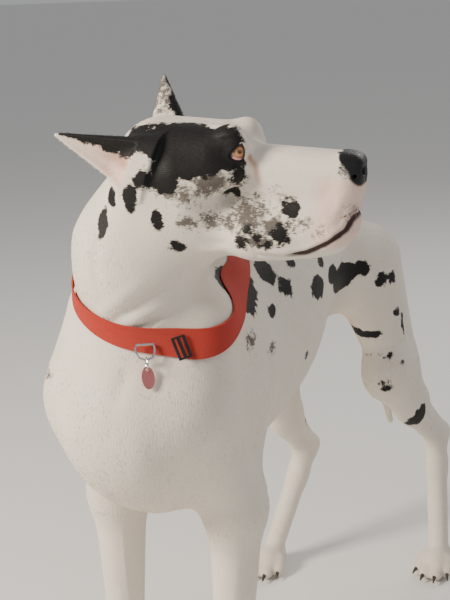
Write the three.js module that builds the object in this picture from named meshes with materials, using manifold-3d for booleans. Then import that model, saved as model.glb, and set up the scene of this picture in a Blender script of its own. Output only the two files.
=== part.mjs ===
// A standing great dane, life size, with its head turned to its own left.
// Millimetres. X is the dog's left, Y runs to its rear, Z is up. The floor is Z = 0.
// The body is one smooth form, made of named masses that blend, then parted with thin cuts.
import * as THREE from "three";
import { LoftGeometry } from "three/addons/geometries/LoftGeometry.js";
import { mergeVertices } from "three/addons/utils/BufferGeometryUtils.js";
import Module from "manifold-3d";

// driving dimensions
const SHIFT = [-61.494, -341.257, 0]; // puts the middle of the footprint box on the origin
const GAP = 0.3; // space between neighbouring pieces
const LEG_CUT_FORE = 452; // height where a foreleg meets the trunk
const LEG_CUT_HIND = 600; // height where a hind leg meets the trunk
const HEAD_LENGTH = 330; // back of the skull to the tip of the nose
const HEAD_YAW = 100; // degrees the head is turned to the left of straight ahead
const HEAD_PITCH = -4.5; // degrees, nose slightly down
const NOSE_TIP = [310, 0, 984];
const EYE_RADIUS = 12.5;
const EYE_AT = [178, 38, -5]; // in the head's frame: along, to the side, up
const COLLAR_AT = [-8, -50, 808]; // middle of the ring of webbing
const COLLAR_NORMAL = [0.34, -0.26, 1];
const WEBBING_WIDTH = 26;
const WEBBING_THICKNESS = 2.4;
const TAG_LENGTH = 30;
const TAG_WIDTH = 17;
// elbow, wrist and paw of each foreleg; hip, knee, hock and foot of each hind leg
const FORE = {
  right: { side: -1, elbow: [104, 26, 450], wrist: [96, 6, 210], paw: [95, -4] },
  left: { side: 1, elbow: [94, 30, 455], wrist: [90, 8, 210], paw: [90, -4] },
};
const HIND = {
  right: { side: -1, hip: [80, 620, 702], knee: [112, 560, 458], hock: [96, 712, 252], foot: [152, 655] },
  left: { side: 1, hip: [80, 620, 702], knee: [124, 596, 498], hock: [156, 812, 280], foot: [172, 785] },
};
// toes of a paw, from the inner to the outer: sideways, forward, radius
const TOES = [
  [-30, -16, 16],
  [-11, -36, 17],
  [11, -36, 17],
  [30, -16, 16],
];
const CLAW_LENGTH = 15;

// small vector helpers
const sub = (a, b) => [a[0] - b[0], a[1] - b[1], a[2] - b[2]];
const add = (a, b) => [a[0] + b[0], a[1] + b[1], a[2] + b[2]];
const mul = (a, k) => [a[0] * k, a[1] * k, a[2] * k];
const dot = (a, b) => a[0] * b[0] + a[1] * b[1] + a[2] * b[2];
const cross = (a, b) => [a[1] * b[2] - a[2] * b[1], a[2] * b[0] - a[0] * b[2], a[0] * b[1] - a[1] * b[0]];
const unit = (a) => mul(a, 1 / Math.hypot(a[0], a[1], a[2]));
const mix = (a, b, t) => add(mul(a, 1 - t), mul(b, t));
const V = (a) => new THREE.Vector3(a[0], a[1], a[2]);

// masses: each gives the distance from p to a rounded form, and join blends two
function join(a, b, k) {
  const h = Math.max(k - Math.abs(a - b), 0) / k;
  return Math.min(a, b) - h * h * k * 0.25;
}
function cone(p, a, b, ra, rb, flat = 1) {
  // a bone-like mass from a to b; flat squeezes it sideways
  const q = [(p[0] - a[0]) / flat, p[1] - a[1], p[2] - a[2]];
  const d = [(b[0] - a[0]) / flat, b[1] - a[1], b[2] - a[2]];
  const t = Math.min(1, Math.max(0, dot(q, d) / (dot(d, d) + 1e-9)));
  return (Math.hypot(q[0] - t * d[0], q[1] - t * d[1], q[2] - t * d[2]) - (ra + t * (rb - ra))) * flat;
}
function coneLat(q, a, b, ra, rb, flat) {
  // the same in the head's frame, squeezed along its second axis
  const swap = (v) => [v[1], v[0], v[2]];
  return cone(swap(q), swap(a), swap(b), ra, rb, flat);
}
const ball = (p, c, r) => Math.hypot(p[0] - c[0], p[1] - c[1], p[2] - c[2]) - r;
function slab(p, c, half, r) {
  const q = [0, 1, 2].map((i) => Math.abs(p[i] - c[i]) - (half[i] - r));
  const out = Math.hypot(Math.max(q[0], 0), Math.max(q[1], 0), Math.max(q[2], 0));
  return out + Math.min(Math.max(q[0], q[1], q[2]), 0) - r;
}

// trunk: ribs, brisket, breast, back, loin and rump
function trunk(p) {
  let d = cone(p, [0, 30, 662], [0, 270, 678], 172, 150, 0.78);
  d = join(d, cone(p, [0, -20, 588], [0, 240, 608], 92, 84, 0.8), 60);
  d = join(d, cone(p, [0, -66, 645], [0, -20, 700], 108, 84), 50);
  d = join(d, cone(p, [0, 108, 788], [0, 530, 744], 52, 50), 70);
  d = join(d, cone(p, [0, 280, 705], [0, 540, 715], 112, 102, 0.86), 60);
  d = join(d, cone(p, [0, 550, 712], [0, 634, 690], 84, 58), 50);
  for (const s of [-1, 1]) {
    d = join(d, cone(p, [s * 38, 556, 750], [s * 48, 626, 704], 38, 32), 40);
  }
  return d;
}

// a paw with four toes on the floor
function paw(p, x, y, k) {
  let d = cone(p, [x, y + 22, 24], [x, y - 8, 30], 30 * k, 30 * k);
  for (const [dx, dy, r] of TOES) {
    const knuckle = [x + dx * 0.8 * k, y + dy * 0.2, 32];
    d = join(d, cone(p, knuckle, [x + dx * k, y + dy * k - 4, 18], r * k, (r - 1) * k), 7);
  }
  return d;
}

// a foreleg with its shoulder blade, upper arm, forearm, wrist and pastern
function foreleg(p, { side: s, elbow, wrist, paw: at }) {
  const e = [s * elbow[0], elbow[1], elbow[2]];
  const c = [s * wrist[0], wrist[1], wrist[2]];
  let d = cone(p, [s * 42, 88, 788], [s * 78, -48, 690], 40, 54, 0.84);
  d = join(d, cone(p, [s * 76, -22, 776], [s * 80, -52, 696], 50, 50), 44);
  d = join(d, ball(p, [s * 76, -76, 664], 46), 40);
  d = join(d, cone(p, [s * 82, -62, 650], [e[0], e[1] - 8, e[2] + 30], 52, 39), 40);
  d = join(d, cone(p, [s * 78, 60, 710], [e[0], e[1] + 28, e[2] + 40], 58, 36, 0.75), 45);
  d = join(d, cone(p, e, c, 46, 29, 0.86), 40);
  d = join(d, ball(p, [e[0], e[1] + 42, e[2] + 14], 17), 24);
  d = join(d, cone(p, [c[0], c[1] - 3, c[2] + 10], [c[0], c[1], c[2] - 25], 31, 27), 18);
  d = join(d, cone(p, [c[0], c[1], c[2] - 20], [s * at[0], at[1] + 22, 42], 26, 27), 16);
  return join(d, paw(p, s * at[0], at[1], 1), 14);
}

// a hind leg with its thigh, knee, lower thigh, tendon, hock and rear pastern
function hindleg(p, { side: s, hip, knee, hock, foot }) {
  const H = [s * hip[0], hip[1], hip[2]];
  const K = [s * knee[0], knee[1], knee[2]];
  const Q = [s * hock[0], hock[1], hock[2]];
  const F = [s * foot[0], foot[1], 38];
  const m = mix(K, Q, 0.45);
  let d = cone(p, add(H, [s * 2, -20, -12]), add(K, [0, 18, 28]), 82, 47, 0.74);
  d = join(d, cone(p, add(H, [0, 30, -24]), add(K, [0, 90, 0]), 60, 42, 0.68), 50);
  d = join(d, cone(p, add(K, [0, -6, 0]), add(K, [0, -6, 1]), 38, 38, 0.9), 30);
  d = join(d, cone(p, add(K, [0, 14, -10]), add(m, [0, 8, 0]), 50, 36, 0.78), 34);
  d = join(d, cone(p, add(K, [0, 62, -22]), add(m, [0, 26, 0]), 42, 27, 0.72), 34);
  d = join(d, cone(p, m, add(Q, [0, -6, 12]), 34, 25, 0.72), 24);
  d = join(d, cone(p, add(m, [0, 34, 8]), add(Q, [0, 30, 12]), 12, 13), 22);
  d = join(d, ball(p, add(Q, [0, 30, 8]), 17), 20);
  d = join(d, cone(p, add(Q, [0, -2, 4]), mix(Q, F, 0.25), 31, 25, 0.8), 18);
  d = join(d, cone(p, mix(Q, F, 0.2), F, 25, 24, 0.88), 14);
  return join(d, paw(p, F[0], F[1] - 18, 0.95), 14);
}

// the tail, carried low
function tail(p) {
  let d = cone(p, [0, 644, 722], [6, 710, 670], 34, 28);
  d = join(d, cone(p, [6, 710, 670], [22, 764, 550], 27, 20), 20);
  d = join(d, cone(p, [22, 764, 550], [38, 794, 420], 20, 13), 20);
  return join(d, cone(p, [38, 794, 420], [50, 832, 300], 13, 7), 16);
}

// the neck: its core, the arched nape and the throat
function neck(p) {
  let d = cone(p, [-10, -40, 715], [0, -52, 880], 84, 70);
  d = join(d, cone(p, [0, 4, 800], [4, -4, 925], 42, 34), 50);
  d = join(d, cone(p, [2, -52, 880], [36, -46, 982], 70, 46), 50);
  return join(d, cone(p, [6, -68, 842], [112, -38, 905], 50, 36), 50);
}

// the head's own frame: along the muzzle, to the dog's left, up
const yaw = (HEAD_YAW * Math.PI) / 180;
const pitch = (HEAD_PITCH * Math.PI) / 180;
const ALONG = [Math.sin(yaw) * Math.cos(pitch), -Math.cos(yaw) * Math.cos(pitch), Math.sin(pitch)];
const SIDE = unit(cross([0, 0, 1], ALONG));
const UP = cross(ALONG, SIDE);
const HEAD_AT = add(sub(NOSE_TIP, mul(ALONG, HEAD_LENGTH)), mul(UP, 22));
const toHead = (p) => {
  const q = sub(p, HEAD_AT);
  return [dot(q, ALONG), dot(q, SIDE), dot(q, UP)];
};
const fromHead = (q) => add(HEAD_AT, add(mul(ALONG, q[0]), add(mul(SIDE, q[1]), mul(UP, q[2]))));

// the head: skull, cheeks, brows, muzzle, hanging lips, jaw and nose
function head(p) {
  const q = toHead(p);
  q[1] = Math.abs(q[1]);
  let d = slab(q, [103, 0, -22], [81, 64, 46], 44);
  d = join(d, coneLat(q, [60, 56, -52], [110, 52, -66], 36, 34, 0.6), 26);
  d = join(d, cone(q, [105, 58, -36], [172, 45, -34], 13, 11), 20);
  d = join(d, ball(q, [170, 35, 10], 17), 20);
  d = join(d, ball(q, EYE_AT, EYE_RADIUS + 3.5), 9);
  d = join(d, slab(q, [250, 0, -34], [82, 34, 34], 28), 22);
  d = join(d, slab(q, [243, 0, -84], [72, 30, 42], 22), 16);
  d = join(d, cone(q, [204, 24, -112], [292, 21, -97], 32, 28), 26);
  d = join(d, cone(q, [190, 27, -112], [235, 25, -112], 24, 22), 20);
  d = join(d, slab(q, [311, 0, -68], [15, 27, 40], 14), 16);
  d = join(d, cone(q, [90, 22, -96], [268, 6, -114], 34, 19), 24);
  return join(d, slab(q, [314, 0, -20], [18, 25, 20], 14), 7);
}

// the whole body as one form
const tailRoot = (p) => cone(p, [0, 644, 722], [5, 700, 678], 34, 29);
function body(p, withTail = true) {
  let d = trunk(p);
  d = join(d, foreleg(p, FORE.right), 34);
  d = join(d, foreleg(p, FORE.left), 34);
  d = join(d, hindleg(p, HIND.right), 34);
  d = join(d, hindleg(p, HIND.left), 34);
  d = join(d, withTail ? tail(p) : tailRoot(p), 24);
  d = join(d, neck(p), 38);
  d = join(d, head(p), 34);
  return Math.max(d, -p[2]);
}

// solids
const wasm = await Module();
wasm.setup();
function solid(geometry) {
  const g = new THREE.BufferGeometry();
  g.setAttribute("position", geometry.getAttribute("position"));
  if (geometry.index) g.setIndex(geometry.index);
  const m = mergeVertices(g, 1e-4);
  return new wasm.Manifold(
    new wasm.Mesh({
      numProp: 3,
      vertProperties: m.attributes.position.array,
      triVerts: new Uint32Array(m.index.array),
    }),
  );
}
function largest(made) {
  let best = null;
  for (const part of made.decompose()) {
    if (!best || part.volume() > best.volume()) best = part;
  }
  return best;
}
function geometryOf(made) {
  const m = made.getMesh();
  const g = new THREE.BufferGeometry();
  g.setAttribute("position", new THREE.BufferAttribute(new Float32Array(m.vertProperties), 3));
  g.setIndex(new THREE.BufferAttribute(new Uint32Array(m.triVerts), 1));
  const flat = g.toNonIndexed();
  flat.computeVertexNormals();
  return flat;
}
// the half space beyond a plane, as a big box whose face lies in the plane
function beyond(at, normal, size = 1400) {
  const n = unit(normal);
  const box = new THREE.BoxGeometry(size, size, size);
  const turn = new THREE.Quaternion().setFromUnitVectors(new THREE.Vector3(0, 0, 1), V(n));
  const mid = add(at, mul(n, size / 2));
  box.applyMatrix4(new THREE.Matrix4().compose(V(mid), turn, new THREE.Vector3(1, 1, 1)));
  return solid(box);
}
// one cross section: rays from c in the plane of e1 and e2 out to the surface of a form
function ring(form, c, e1, e2, count, reach = 400) {
  const points = [];
  for (let j = 0; j < count; j++) {
    const a = (2 * Math.PI * j) / count;
    const u = add(mul(e1, Math.cos(a)), mul(e2, Math.sin(a)));
    let r = 0;
    let last = 0;
    for (let n = 0; n < 160 && r < reach; n++) {
      const f = form(add(c, mul(u, r)));
      if (f > -0.02) break;
      last = r;
      r += Math.max(-f * 0.9, 0.15);
    }
    let hi = Math.min(r, reach);
    let lo = last;
    for (let n = 0; n < 18; n++) {
      const mid = (lo + hi) / 2;
      if (form(add(c, mul(u, mid))) < 0) lo = mid;
      else hi = mid;
    }
    points.push(V(add(c, mul(u, Math.max(lo, 0.6)))));
  }
  return points;
}
// a loft through cross sections; each station gives a centre and the plane's normal
function loft(form, stations, count, lateral = [1, 0, 0]) {
  const sections = stations.map(([c, n]) => {
    const e3 = unit(n);
    const e1 = unit(sub(lateral, mul(e3, dot(lateral, e3))));
    return ring(form, c, e1, cross(e3, e1), count);
  });
  return solid(new LoftGeometry(sections, { capStart: true, capEnd: true }));
}
// smooth way through a few centres: t from 0 to 1
function way(points) {
  const curve = new THREE.CatmullRomCurve3(points.map(V), false, "centripetal");
  return (t) => curve.getPoint(Math.min(1, Math.max(0, t))).toArray();
}
const spread = (n, f) => Array.from({ length: n + 1 }, (_, i) => f(i / n));

// parting planes
const collarNormal = unit(COLLAR_NORMAL);
const POLL_AT = fromHead([-8, 0, 25]);
const THROAT_AT = fromHead([120, 0, -150]);
const pollNormal = unit(cross(SIDE, unit(sub(POLL_AT, THROAT_AT))));
const above = (at, n, off) => (p) => dot(sub(p, at), n) - off;

// the trunk node, with its neck base up to the collar
function trunkForm(p) {
  return Math.max(body(p, false), LEG_CUT_FORE - 25 - p[2], dot(sub(p, COLLAR_AT), collarNormal) - 22);
}
// distance from c along u to the surface of a form
function reachOf(form, c, u) {
  let r = 0;
  while (r < 400 && form(add(c, mul(u, r))) < 0) r += 0.4;
  return r;
}
const BREAST_Y = -100 - reachOf(body, [0, -100, 645], [0, -1, 0]) + 0.7;
const RUMP_Y = 640 + reachOf((p) => body(p, false), [0, 640, 706], [0, 1, 0]) - 0.7;
let torso = loft(
  trunkForm,
  spread(40, (t) => {
    const e = 0.5 - 0.5 * Math.cos(Math.PI * t);
    const y = BREAST_Y + (0.22 * t + 0.78 * e) * (RUMP_Y - BREAST_Y);
    const z = y < 200 ? 645 + (Math.max(y, -100) + 100) * 0.08 : 669 + (Math.min(y, 640) - 200) * 0.085;
    return [[0, y, z], [0, 1, 0]];
  }),
  36,
);
const collarUp = beyond(add(COLLAR_AT, mul(collarNormal, -GAP / 2)), collarNormal);
const hindBox = new THREE.BoxGeometry(700, 700, 600);
hindBox.translate(0, 470 + 350, LEG_CUT_HIND + GAP / 2 - 300);
const foreBox = new THREE.BoxGeometry(700, 800, 600);
foreBox.translate(0, -100, LEG_CUT_FORE + GAP / 2 - 300);
torso = largest(torso.subtract(collarUp).subtract(solid(hindBox)).subtract(solid(foreBox)));

// legs
function tips(at, k, s) {
  // root and tip of each claw of a paw
  return TOES.map(([dx, dy, r]) => {
    const tip = [at[0] + dx * k, at[1] + dy * k - 4, 18];
    const out = unit([dx * 0.35, -30, 0]);
    return { root: add(tip, add(mul(out, (r - 5) * k), [0, 0, -1])), out };
  });
}
function claw(at, out, grow) {
  const sections = spread(3, (t) => {
    const c = add(at, add(mul(out, CLAW_LENGTH * t), [0, 0, -7.5 * t * t]));
    const r = (4.6 * (1 - t) + 1.3 * t) + grow;
    const n = unit([out[0], out[1], -1.0 * t]);
    const e1 = unit(cross([0, 0, 1], n));
    const e2 = cross(n, e1);
    const points = [];
    for (let j = 0; j < 6; j++) {
      const a = (2 * Math.PI * j) / 6;
      points.push(V(add(add(c, mul(e1, r * 0.72 * Math.cos(a))), mul(e2, r * Math.sin(a)))));
    }
    return points;
  });
  return solid(new LoftGeometry(sections, { capStart: true, capEnd: true }));
}
function legNode(form, centres, top, stations, count) {
  const path = way(centres);
  const made = loft(
    (p) => Math.max(form(p), p[2] - top - 20),
    spread(stations, (t) => {
      const c = path(t);
      return [c, [0, 0, 1]];
    }),
    count,
  );
  return largest(made.subtract(beyond([0, 300, top - GAP / 2], [0, 0, 1])));
}
const claws = {};
const legs = {};
for (const [name, leg] of Object.entries(FORE)) {
  const s = leg.side;
  const e = [s * leg.elbow[0], leg.elbow[1] + 6, leg.elbow[2] + 26];
  const c = [s * leg.wrist[0], leg.wrist[1], leg.wrist[2]];
  const f = [s * leg.paw[0], leg.paw[1] + 6, 30];
  const own = (p) => Math.max(body(p), -s * p[0] + 30);
  const centres = [[f[0], f[1], 0], f, [c[0], c[1] + 4, 110], c, mix(c, e, 0.5), e];
  let made = legNode(own, centres, LEG_CUT_FORE, 26, 16);
  const paws = tips([s * leg.paw[0], leg.paw[1]], 1, s);
  claws[name + "_fore"] = paws;
  for (const t of paws) made = made.subtract(claw(t.root, t.out, 0.3));
  legs[name + "_foreleg"] = largest(made);
}
for (const [name, leg] of Object.entries(HIND)) {
  const s = leg.side;
  const K = [s * leg.knee[0], leg.knee[1] + 30, leg.knee[2]];
  const Q = [s * leg.hock[0], leg.hock[1] + 4, leg.hock[2]];
  const F = [s * leg.foot[0], leg.foot[1] - 10, 30];
  const H = [s * 88, leg.hip[1] - 4, 622];
  const own = (p) => Math.max(body(p), -s * p[0] + 4);
  const pastern = add(mix(Q, F, 0.55), [0, 2, 0]);
  const centres = [[F[0], F[1], 0], F, pastern, Q, mix(K, Q, 0.5), K, H];
  let made = legNode(own, centres, LEG_CUT_HIND, 32, 16);
  const paws = tips([F[0], leg.foot[1] - 18], 0.95, s);
  claws[name + "_hind"] = paws;
  for (const t of paws) made = made.subtract(claw(t.root, t.out, 0.3));
  legs[name + "_hind_leg"] = largest(made);
}

// the tail node, cut from the rump by a slanted plane
const tailCut = { at: [4.5, 695, 683], n: unit([0.07, 0.76, -0.64]) };
const tailPath = way([[2, 669, 703], [6, 710, 670], [22, 764, 550], [38, 794, 420], [50, 831, 303]]);
let tailMade = loft(
  tail,
  spread(18, (t) => {
    const c = tailPath(t * 0.995);
    const d = tailPath(Math.min(1, t * 0.995 + 0.004));
    const n = t > 0.98 ? sub(c, tailPath(t - 0.02)) : sub(d, c);
    return [c, n];
  }),
  14,
);
tailMade = largest(tailMade.subtract(beyond(add(tailCut.at, mul(tailCut.n, GAP / 2)), mul(tailCut.n, -1))));
torso = largest(torso.subtract(beyond(add(tailCut.at, mul(tailCut.n, -GAP / 2)), tailCut.n, 92)));

// the neck node, from the collar to the back of the skull
const neckEnd = mix(POLL_AT, THROAT_AT, 0.48);
const neckPath = way([add(COLLAR_AT, mul(collarNormal, -16)), [2, -50, 860], [24, -48, 930], neckEnd]);
const neckForm = (p) => Math.max(body(p), above(POLL_AT, pollNormal, 14)(p));
let neckMade = loft(
  neckForm,
  spread(13, (t) => {
    const n = mix(collarNormal, pollNormal, Math.min(1, Math.max(0, t * 1.1 - 0.05)));
    return [add(neckPath(t), mul(pollNormal, t > 0.99 ? 10 : 0)), n];
  }),
  32,
  [0, -1, 0],
);
neckMade = largest(
  neckMade
    .subtract(beyond(add(COLLAR_AT, mul(collarNormal, GAP / 2)), mul(collarNormal, -1)))
    .subtract(beyond(add(POLL_AT, mul(pollNormal, -GAP / 2)), pollNormal)),
);

// the head node: lofted along the muzzle, with sockets, nostrils and the mouth line
const headForm = (p) => Math.max(body(p), -166 - toHead(p)[2]);
const NOSE_END = 250 + reachOf(body, fromHead([250, 0, -34]), ALONG) - 0.7;
let headMade = loft(
  headForm,
  spread(40, (t) => {
    const u = t < 0.32 ? 0 : (t - 0.32) / 0.68;
    const e = u * 0.72 + 0.28 * Math.sin((Math.PI / 2) * u);
    const k = Math.min(1, t / 0.32);
    const top = t < 0.32 ? -26 + k * 150 : 124 + e * (NOSE_END - 124);
    const low = t < 0.32 ? 102 + k * 26 : 128 + e * (NOSE_END - 128);
    const a = fromHead([top, 0, 25]);
    const b = fromHead([low, 0, -150]);
    return [mix(a, b, 0.39 - 0.05 * u), cross(SIDE, unit(sub(a, b)))];
  }),
  34,
  SIDE,
);
headMade = headMade.subtract(beyond(add(POLL_AT, mul(pollNormal, GAP / 2)), mul(pollNormal, -1)));
function headLoft(rings) {
  // rings of [centre, half width direction, half height direction] in the head's frame
  const run = sub(rings[rings.length - 1][0], rings[0][0]);
  const turn = dot(cross(rings[0][1], rings[0][2]), run) < 0 ? -1 : 1;
  const sections = rings.map(([c, w, h]) => {
    const points = [];
    for (let j = 0; j < 12; j++) {
      const a = (2 * Math.PI * j) / 12;
      points.push(V(fromHead(add(c, add(mul(w, Math.cos(a)), mul(h, turn * Math.sin(a)))))));
    }
    return points;
  });
  return solid(new LoftGeometry(sections, { capStart: true, capEnd: true }));
}
const eyes = {};
for (const s of [-1, 1]) {
  const name = s < 0 ? "right" : "left";
  const e = [EYE_AT[0], s * EYE_AT[1], EYE_AT[2]];
  // opening between the lids, an almond that widens outwards, then the ball's own room
  const out = [0.35, s * 0.93, 0.05];
  const along = [0.93, -s * 0.35, -0.12];
  const up = [0.1, 0, 1];
  const almond = headLoft([
    [e, mul(along, 8), mul(up, 5.5)],
    [add(e, mul(out, 13)), mul(along, 11), mul(up, 7.5)],
    [add(e, mul(out, 26)), mul(along, 13), mul(up, 9)],
  ]);
  const room = new THREE.SphereGeometry(EYE_RADIUS + GAP, 14, 8);
  room.translate(...fromHead(e));
  headMade = headMade.subtract(almond).subtract(solid(room));
  const globe = new THREE.SphereGeometry(EYE_RADIUS, 14, 8);
  globe.translate(...fromHead(e));
  eyes[name] = solid(globe);
  // nostril: a comma of two tapering holes
  headMade = headMade.subtract(
    headLoft([
      [[318, s * 7, -24], [0, 2, 0], [0, 0, 2]],
      [[328, s * 11, -21], [0, 5, 0], [0, 0, 4.5]],
      [[340, s * 14, -19], [0, 7, 0], [0, 0, 6]],
    ]),
  );
  headMade = headMade.subtract(
    headLoft([
      [[322, s * 15, -24], [2, 0, 0], [0, 0, 1.4]],
      [[323, s * 23, -25], [4, 0, 0], [0, 0, 2.4]],
      [[326, s * 34, -27], [6, 0, 0], [0, 0, 3.4]],
    ]),
  );
}
// the mouth line, a shallow groove round the lower edge of the lips
const lipLine = [
  [194, -1, -122],
  [212, -1, -131],
  [244, -1, -131],
  [274, -1, -122],
  [300, -1, -107],
  [318, -0.5, -92],
];
function outTo(q) {
  // the point on the head's skin straight out to the side of q
  const c = fromHead([q[0], Math.sign(q[1]) * 22, q[2]]);
  const u = mul(SIDE, Math.sign(q[1]));
  let r = 0;
  while (r < 90 && body(add(c, mul(u, r))) < 0) r += 0.5;
  return add(c, mul(u, r));
}
const lipRight = lipLine.map(outTo);
const lipLeft = lipLine.map((q) => outTo([q[0], -q[1], q[2]])).reverse();
const lipPath = new THREE.CatmullRomCurve3([...lipRight, fromHead([326.5, 0, -76]), ...lipLeft].map(V));
const grooveShape = new THREE.Shape();
grooveShape.absarc(0, 0, 2.6, 0, Math.PI * 2);
const groove = new THREE.ExtrudeGeometry(grooveShape, {
  steps: 27,
  extrudePath: lipPath,
  curveSegments: 2,
  bevelEnabled: false,
});
headMade = largest(headMade.subtract(solid(groove)));

// ears: a tapering leaf with a cup, cut to a point
function ear(base, tip, wide, open, width, depth) {
  const axis = sub(tip, base);
  const w = unit(wide);
  const o = unit(open);
  const shape = (t) => Math.pow(1 - t, 0.8) * (1 - 0.25 * t) + 0.035;
  const rings = (grow, shift, t0, t1, n) =>
    spread(n, (k) => {
      const t = t0 + (t1 - t0) * k;
      const c = add(add(base, mul(axis, t)), mul(o, shift * (1 - t * 0.8)));
      const thick = grow < 1 ? depth * shape(t) * 0.95 : depth * shape(t) + 2;
      return [c, mul(w, width * shape(t) * grow), mul(o, thick)];
    });
  const leaf = headLoft(rings(1, 0, -0.22, 1, 11));
  const cup = headLoft(rings(0.82, depth * 0.95, 0.04, 0.9, 8));
  return leaf.subtract(cup);
}
const earRight = ear([50, -62, -28], [-48, -80, 4], [0.25, 0, 0.97], [0.1, -0.9, -0.25], 36, 17);
const earLeft = ear([54, 57, -6], [38, 80, 68], [1, 0.1, 0.1], [0.35, 0.85, -0.2], 30, 14);
// each ear stops at the skin of the head and neck, and keeps a thin gap to it
function trimmed(made) {
  return largest(made.subtract(earRoom));
}
const earRoomForm = (p) => body(p) - 1.1;
const earRoom = loft(
  earRoomForm,
  spread(26, (t) => {
    const x = -60 + t * 250;
    return [fromHead([x, 0, -40]), ALONG];
  }),
  38,
  SIDE,
);

// collar: webbing round the neck, slider, D-ring, split ring and tag
const lateral = unit(sub([1, 0, 0], mul(collarNormal, collarNormal[0])));
const forward = unit(cross(lateral, collarNormal)); // towards the dog's front
function collarLoft(offset, heights, count = 40) {
  // rings that follow the coat at several heights across the webbing
  const e2 = cross(collarNormal, lateral);
  const sections = heights.map((h) => {
    const mid = add(COLLAR_AT, mul(collarNormal, h));
    const c = V(mid);
    return ring(body, mid, lateral, e2, count).map((v) => {
      const d = v.clone().sub(c);
      return c.clone().add(d.multiplyScalar(1 + offset / d.length()));
    });
  });
  return solid(new LoftGeometry(sections, { capStart: true, capEnd: true }));
}
const bandHalf = WEBBING_WIDTH / 2;
const COLLAR_EASE = 1.2; // space between the webbing and the coat
const webbing = collarLoft(COLLAR_EASE + WEBBING_THICKNESS, [-bandHalf, 0, bandHalf]).subtract(
  collarLoft(COLLAR_EASE, [-bandHalf - 5, -bandHalf, 0, bandHalf, bandHalf + 5]),
);

const roomHeights = [-bandHalf - GAP, 0, bandHalf + GAP];
const bandRoom = collarLoft(COLLAR_EASE + WEBBING_THICKNESS + GAP, roomHeights).subtract(
  collarLoft(COLLAR_EASE - GAP, [-bandHalf - 5, -bandHalf, 0, bandHalf, bandHalf + 5]),
);
torso = largest(torso.subtract(bandRoom));
neckMade = largest(neckMade.subtract(bandRoom));

// where the D-ring hangs: the front of the band, towards the dog's left of its lowest point
const RING_TURN = 0.89; // around the band, from the dog's left towards its front
const hang = add(mul(lateral, Math.cos(RING_TURN)), mul(cross(collarNormal, lateral), -Math.sin(RING_TURN)));
function bandFace(u, h, offset) {
  const mid = add(COLLAR_AT, mul(collarNormal, h));
  return add(mid, mul(u, reachOf(body, mid, u) + COLLAR_EASE + WEBBING_THICKNESS + offset));
}
// a wire bent round a closed outline: points in the plane of u and v about a centre
function wire(at, u, v, outline, radius, sides = 6) {
  const n = cross(u, v);
  const sections = outline.map(([x, y], i) => {
    const [x0, y0] = outline[(i + outline.length - 1) % outline.length];
    const [x1, y1] = outline[(i + 1) % outline.length];
    const dir = unit(add(mul(u, x1 - x0), mul(v, y1 - y0)));
    const side = cross(dir, n);
    const c = add(at, add(mul(u, x), mul(v, y)));
    const points = [];
    for (let j = 0; j < sides; j++) {
      const a = (2 * Math.PI * j) / sides;
      points.push(V(add(c, add(mul(side, radius * Math.cos(a)), mul(n, -radius * Math.sin(a))))));
    }
    return points;
  });
  // two open halves, joined, close the loop without a seam wall inside
  const half = Math.floor(sections.length / 2);
  const one = new LoftGeometry(sections.slice(0, half + 2), { capStart: true, capEnd: true });
  const rest = [...sections.slice(half), sections[0], sections[1]];
  const two = new LoftGeometry(rest, { capStart: true, capEnd: true });
  return solid(one).add(solid(two));
}
function circle(r, n) {
  return Array.from({ length: n }, (_, i) => {
    const a = (2 * Math.PI * i) / n;
    return [r * Math.cos(a), r * Math.sin(a)];
  });
}
const tangent = unit(cross(collarNormal, hang));
const down = [0, 0, -1];
const bandFront = bandFace(hang, -4, 8.6);
// moves a point out from the coat until it is clear of it by some distance
function clear(p, space) {
  let q = p;
  while (body(q) < space) q = add(q, mul(hang, 0.5));
  return q;
}
// the D: a straight bar in front of the band, and a bow that hangs below it on the breast
const dHalf = [[11, -5], [12.5, -1], [12.5, 6], [9, 13]];
const dOutline = [[0, -5], ...dHalf, [0, 16], ...dHalf.map(([x, y]) => [-x, y]).reverse()];
const dPlane = unit(sub(clear(bandFace(hang, -19, 7), 10), bandFront));
const dRing = wire(bandFront, tangent, dPlane, dOutline, 1.7);
// split ring through the bow, in a plane square to it
const SPLIT_RADIUS = 8;
const splitOut = unit([hang[0], hang[1], 0]);
const splitAt = add(bandFront, add(mul(dPlane, 16), add(mul(splitOut, 3), [0, 0, -3.6])));
const splitRing = wire(splitAt, splitOut, down, circle(SPLIT_RADIUS, 14), 1.1);
// tag with a hole, hanging from the split ring against the breast
const holeAt = add(splitAt, mul(down, SPLIT_RADIUS));
const tagLow = clear(add(holeAt, mul(down, TAG_LENGTH - 4)), 3);
const tagDown = unit(sub(tagLow, holeAt));
const tagSide = unit(cross(tagDown, splitOut));
const tagShape = new THREE.Shape();
circle(1, 20).forEach(([x, y], i) => {
  if (i === 0) tagShape.moveTo((x * TAG_WIDTH) / 2, (y * TAG_LENGTH) / 2);
  else tagShape.lineTo((x * TAG_WIDTH) / 2, (y * TAG_LENGTH) / 2);
});
const tagHole = new THREE.Path();
circle(2.2, 8).forEach(([x, y], i) => {
  if (i === 0) tagHole.moveTo(x, TAG_LENGTH / 2 - 4 - y);
  else tagHole.lineTo(x, TAG_LENGTH / 2 - 4 - y);
});
tagShape.holes.push(tagHole);
const tagGeometry = new THREE.ExtrudeGeometry(tagShape, { depth: 1.4, bevelEnabled: false });
tagGeometry.translate(0, -(TAG_LENGTH / 2 - 4), -0.7);
tagGeometry.applyMatrix4(
  new THREE.Matrix4()
    .makeBasis(V(tagSide), V(mul(tagDown, -1)), V(cross(tagSide, mul(tagDown, -1))))
    .setPosition(V(holeAt)),
);
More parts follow.
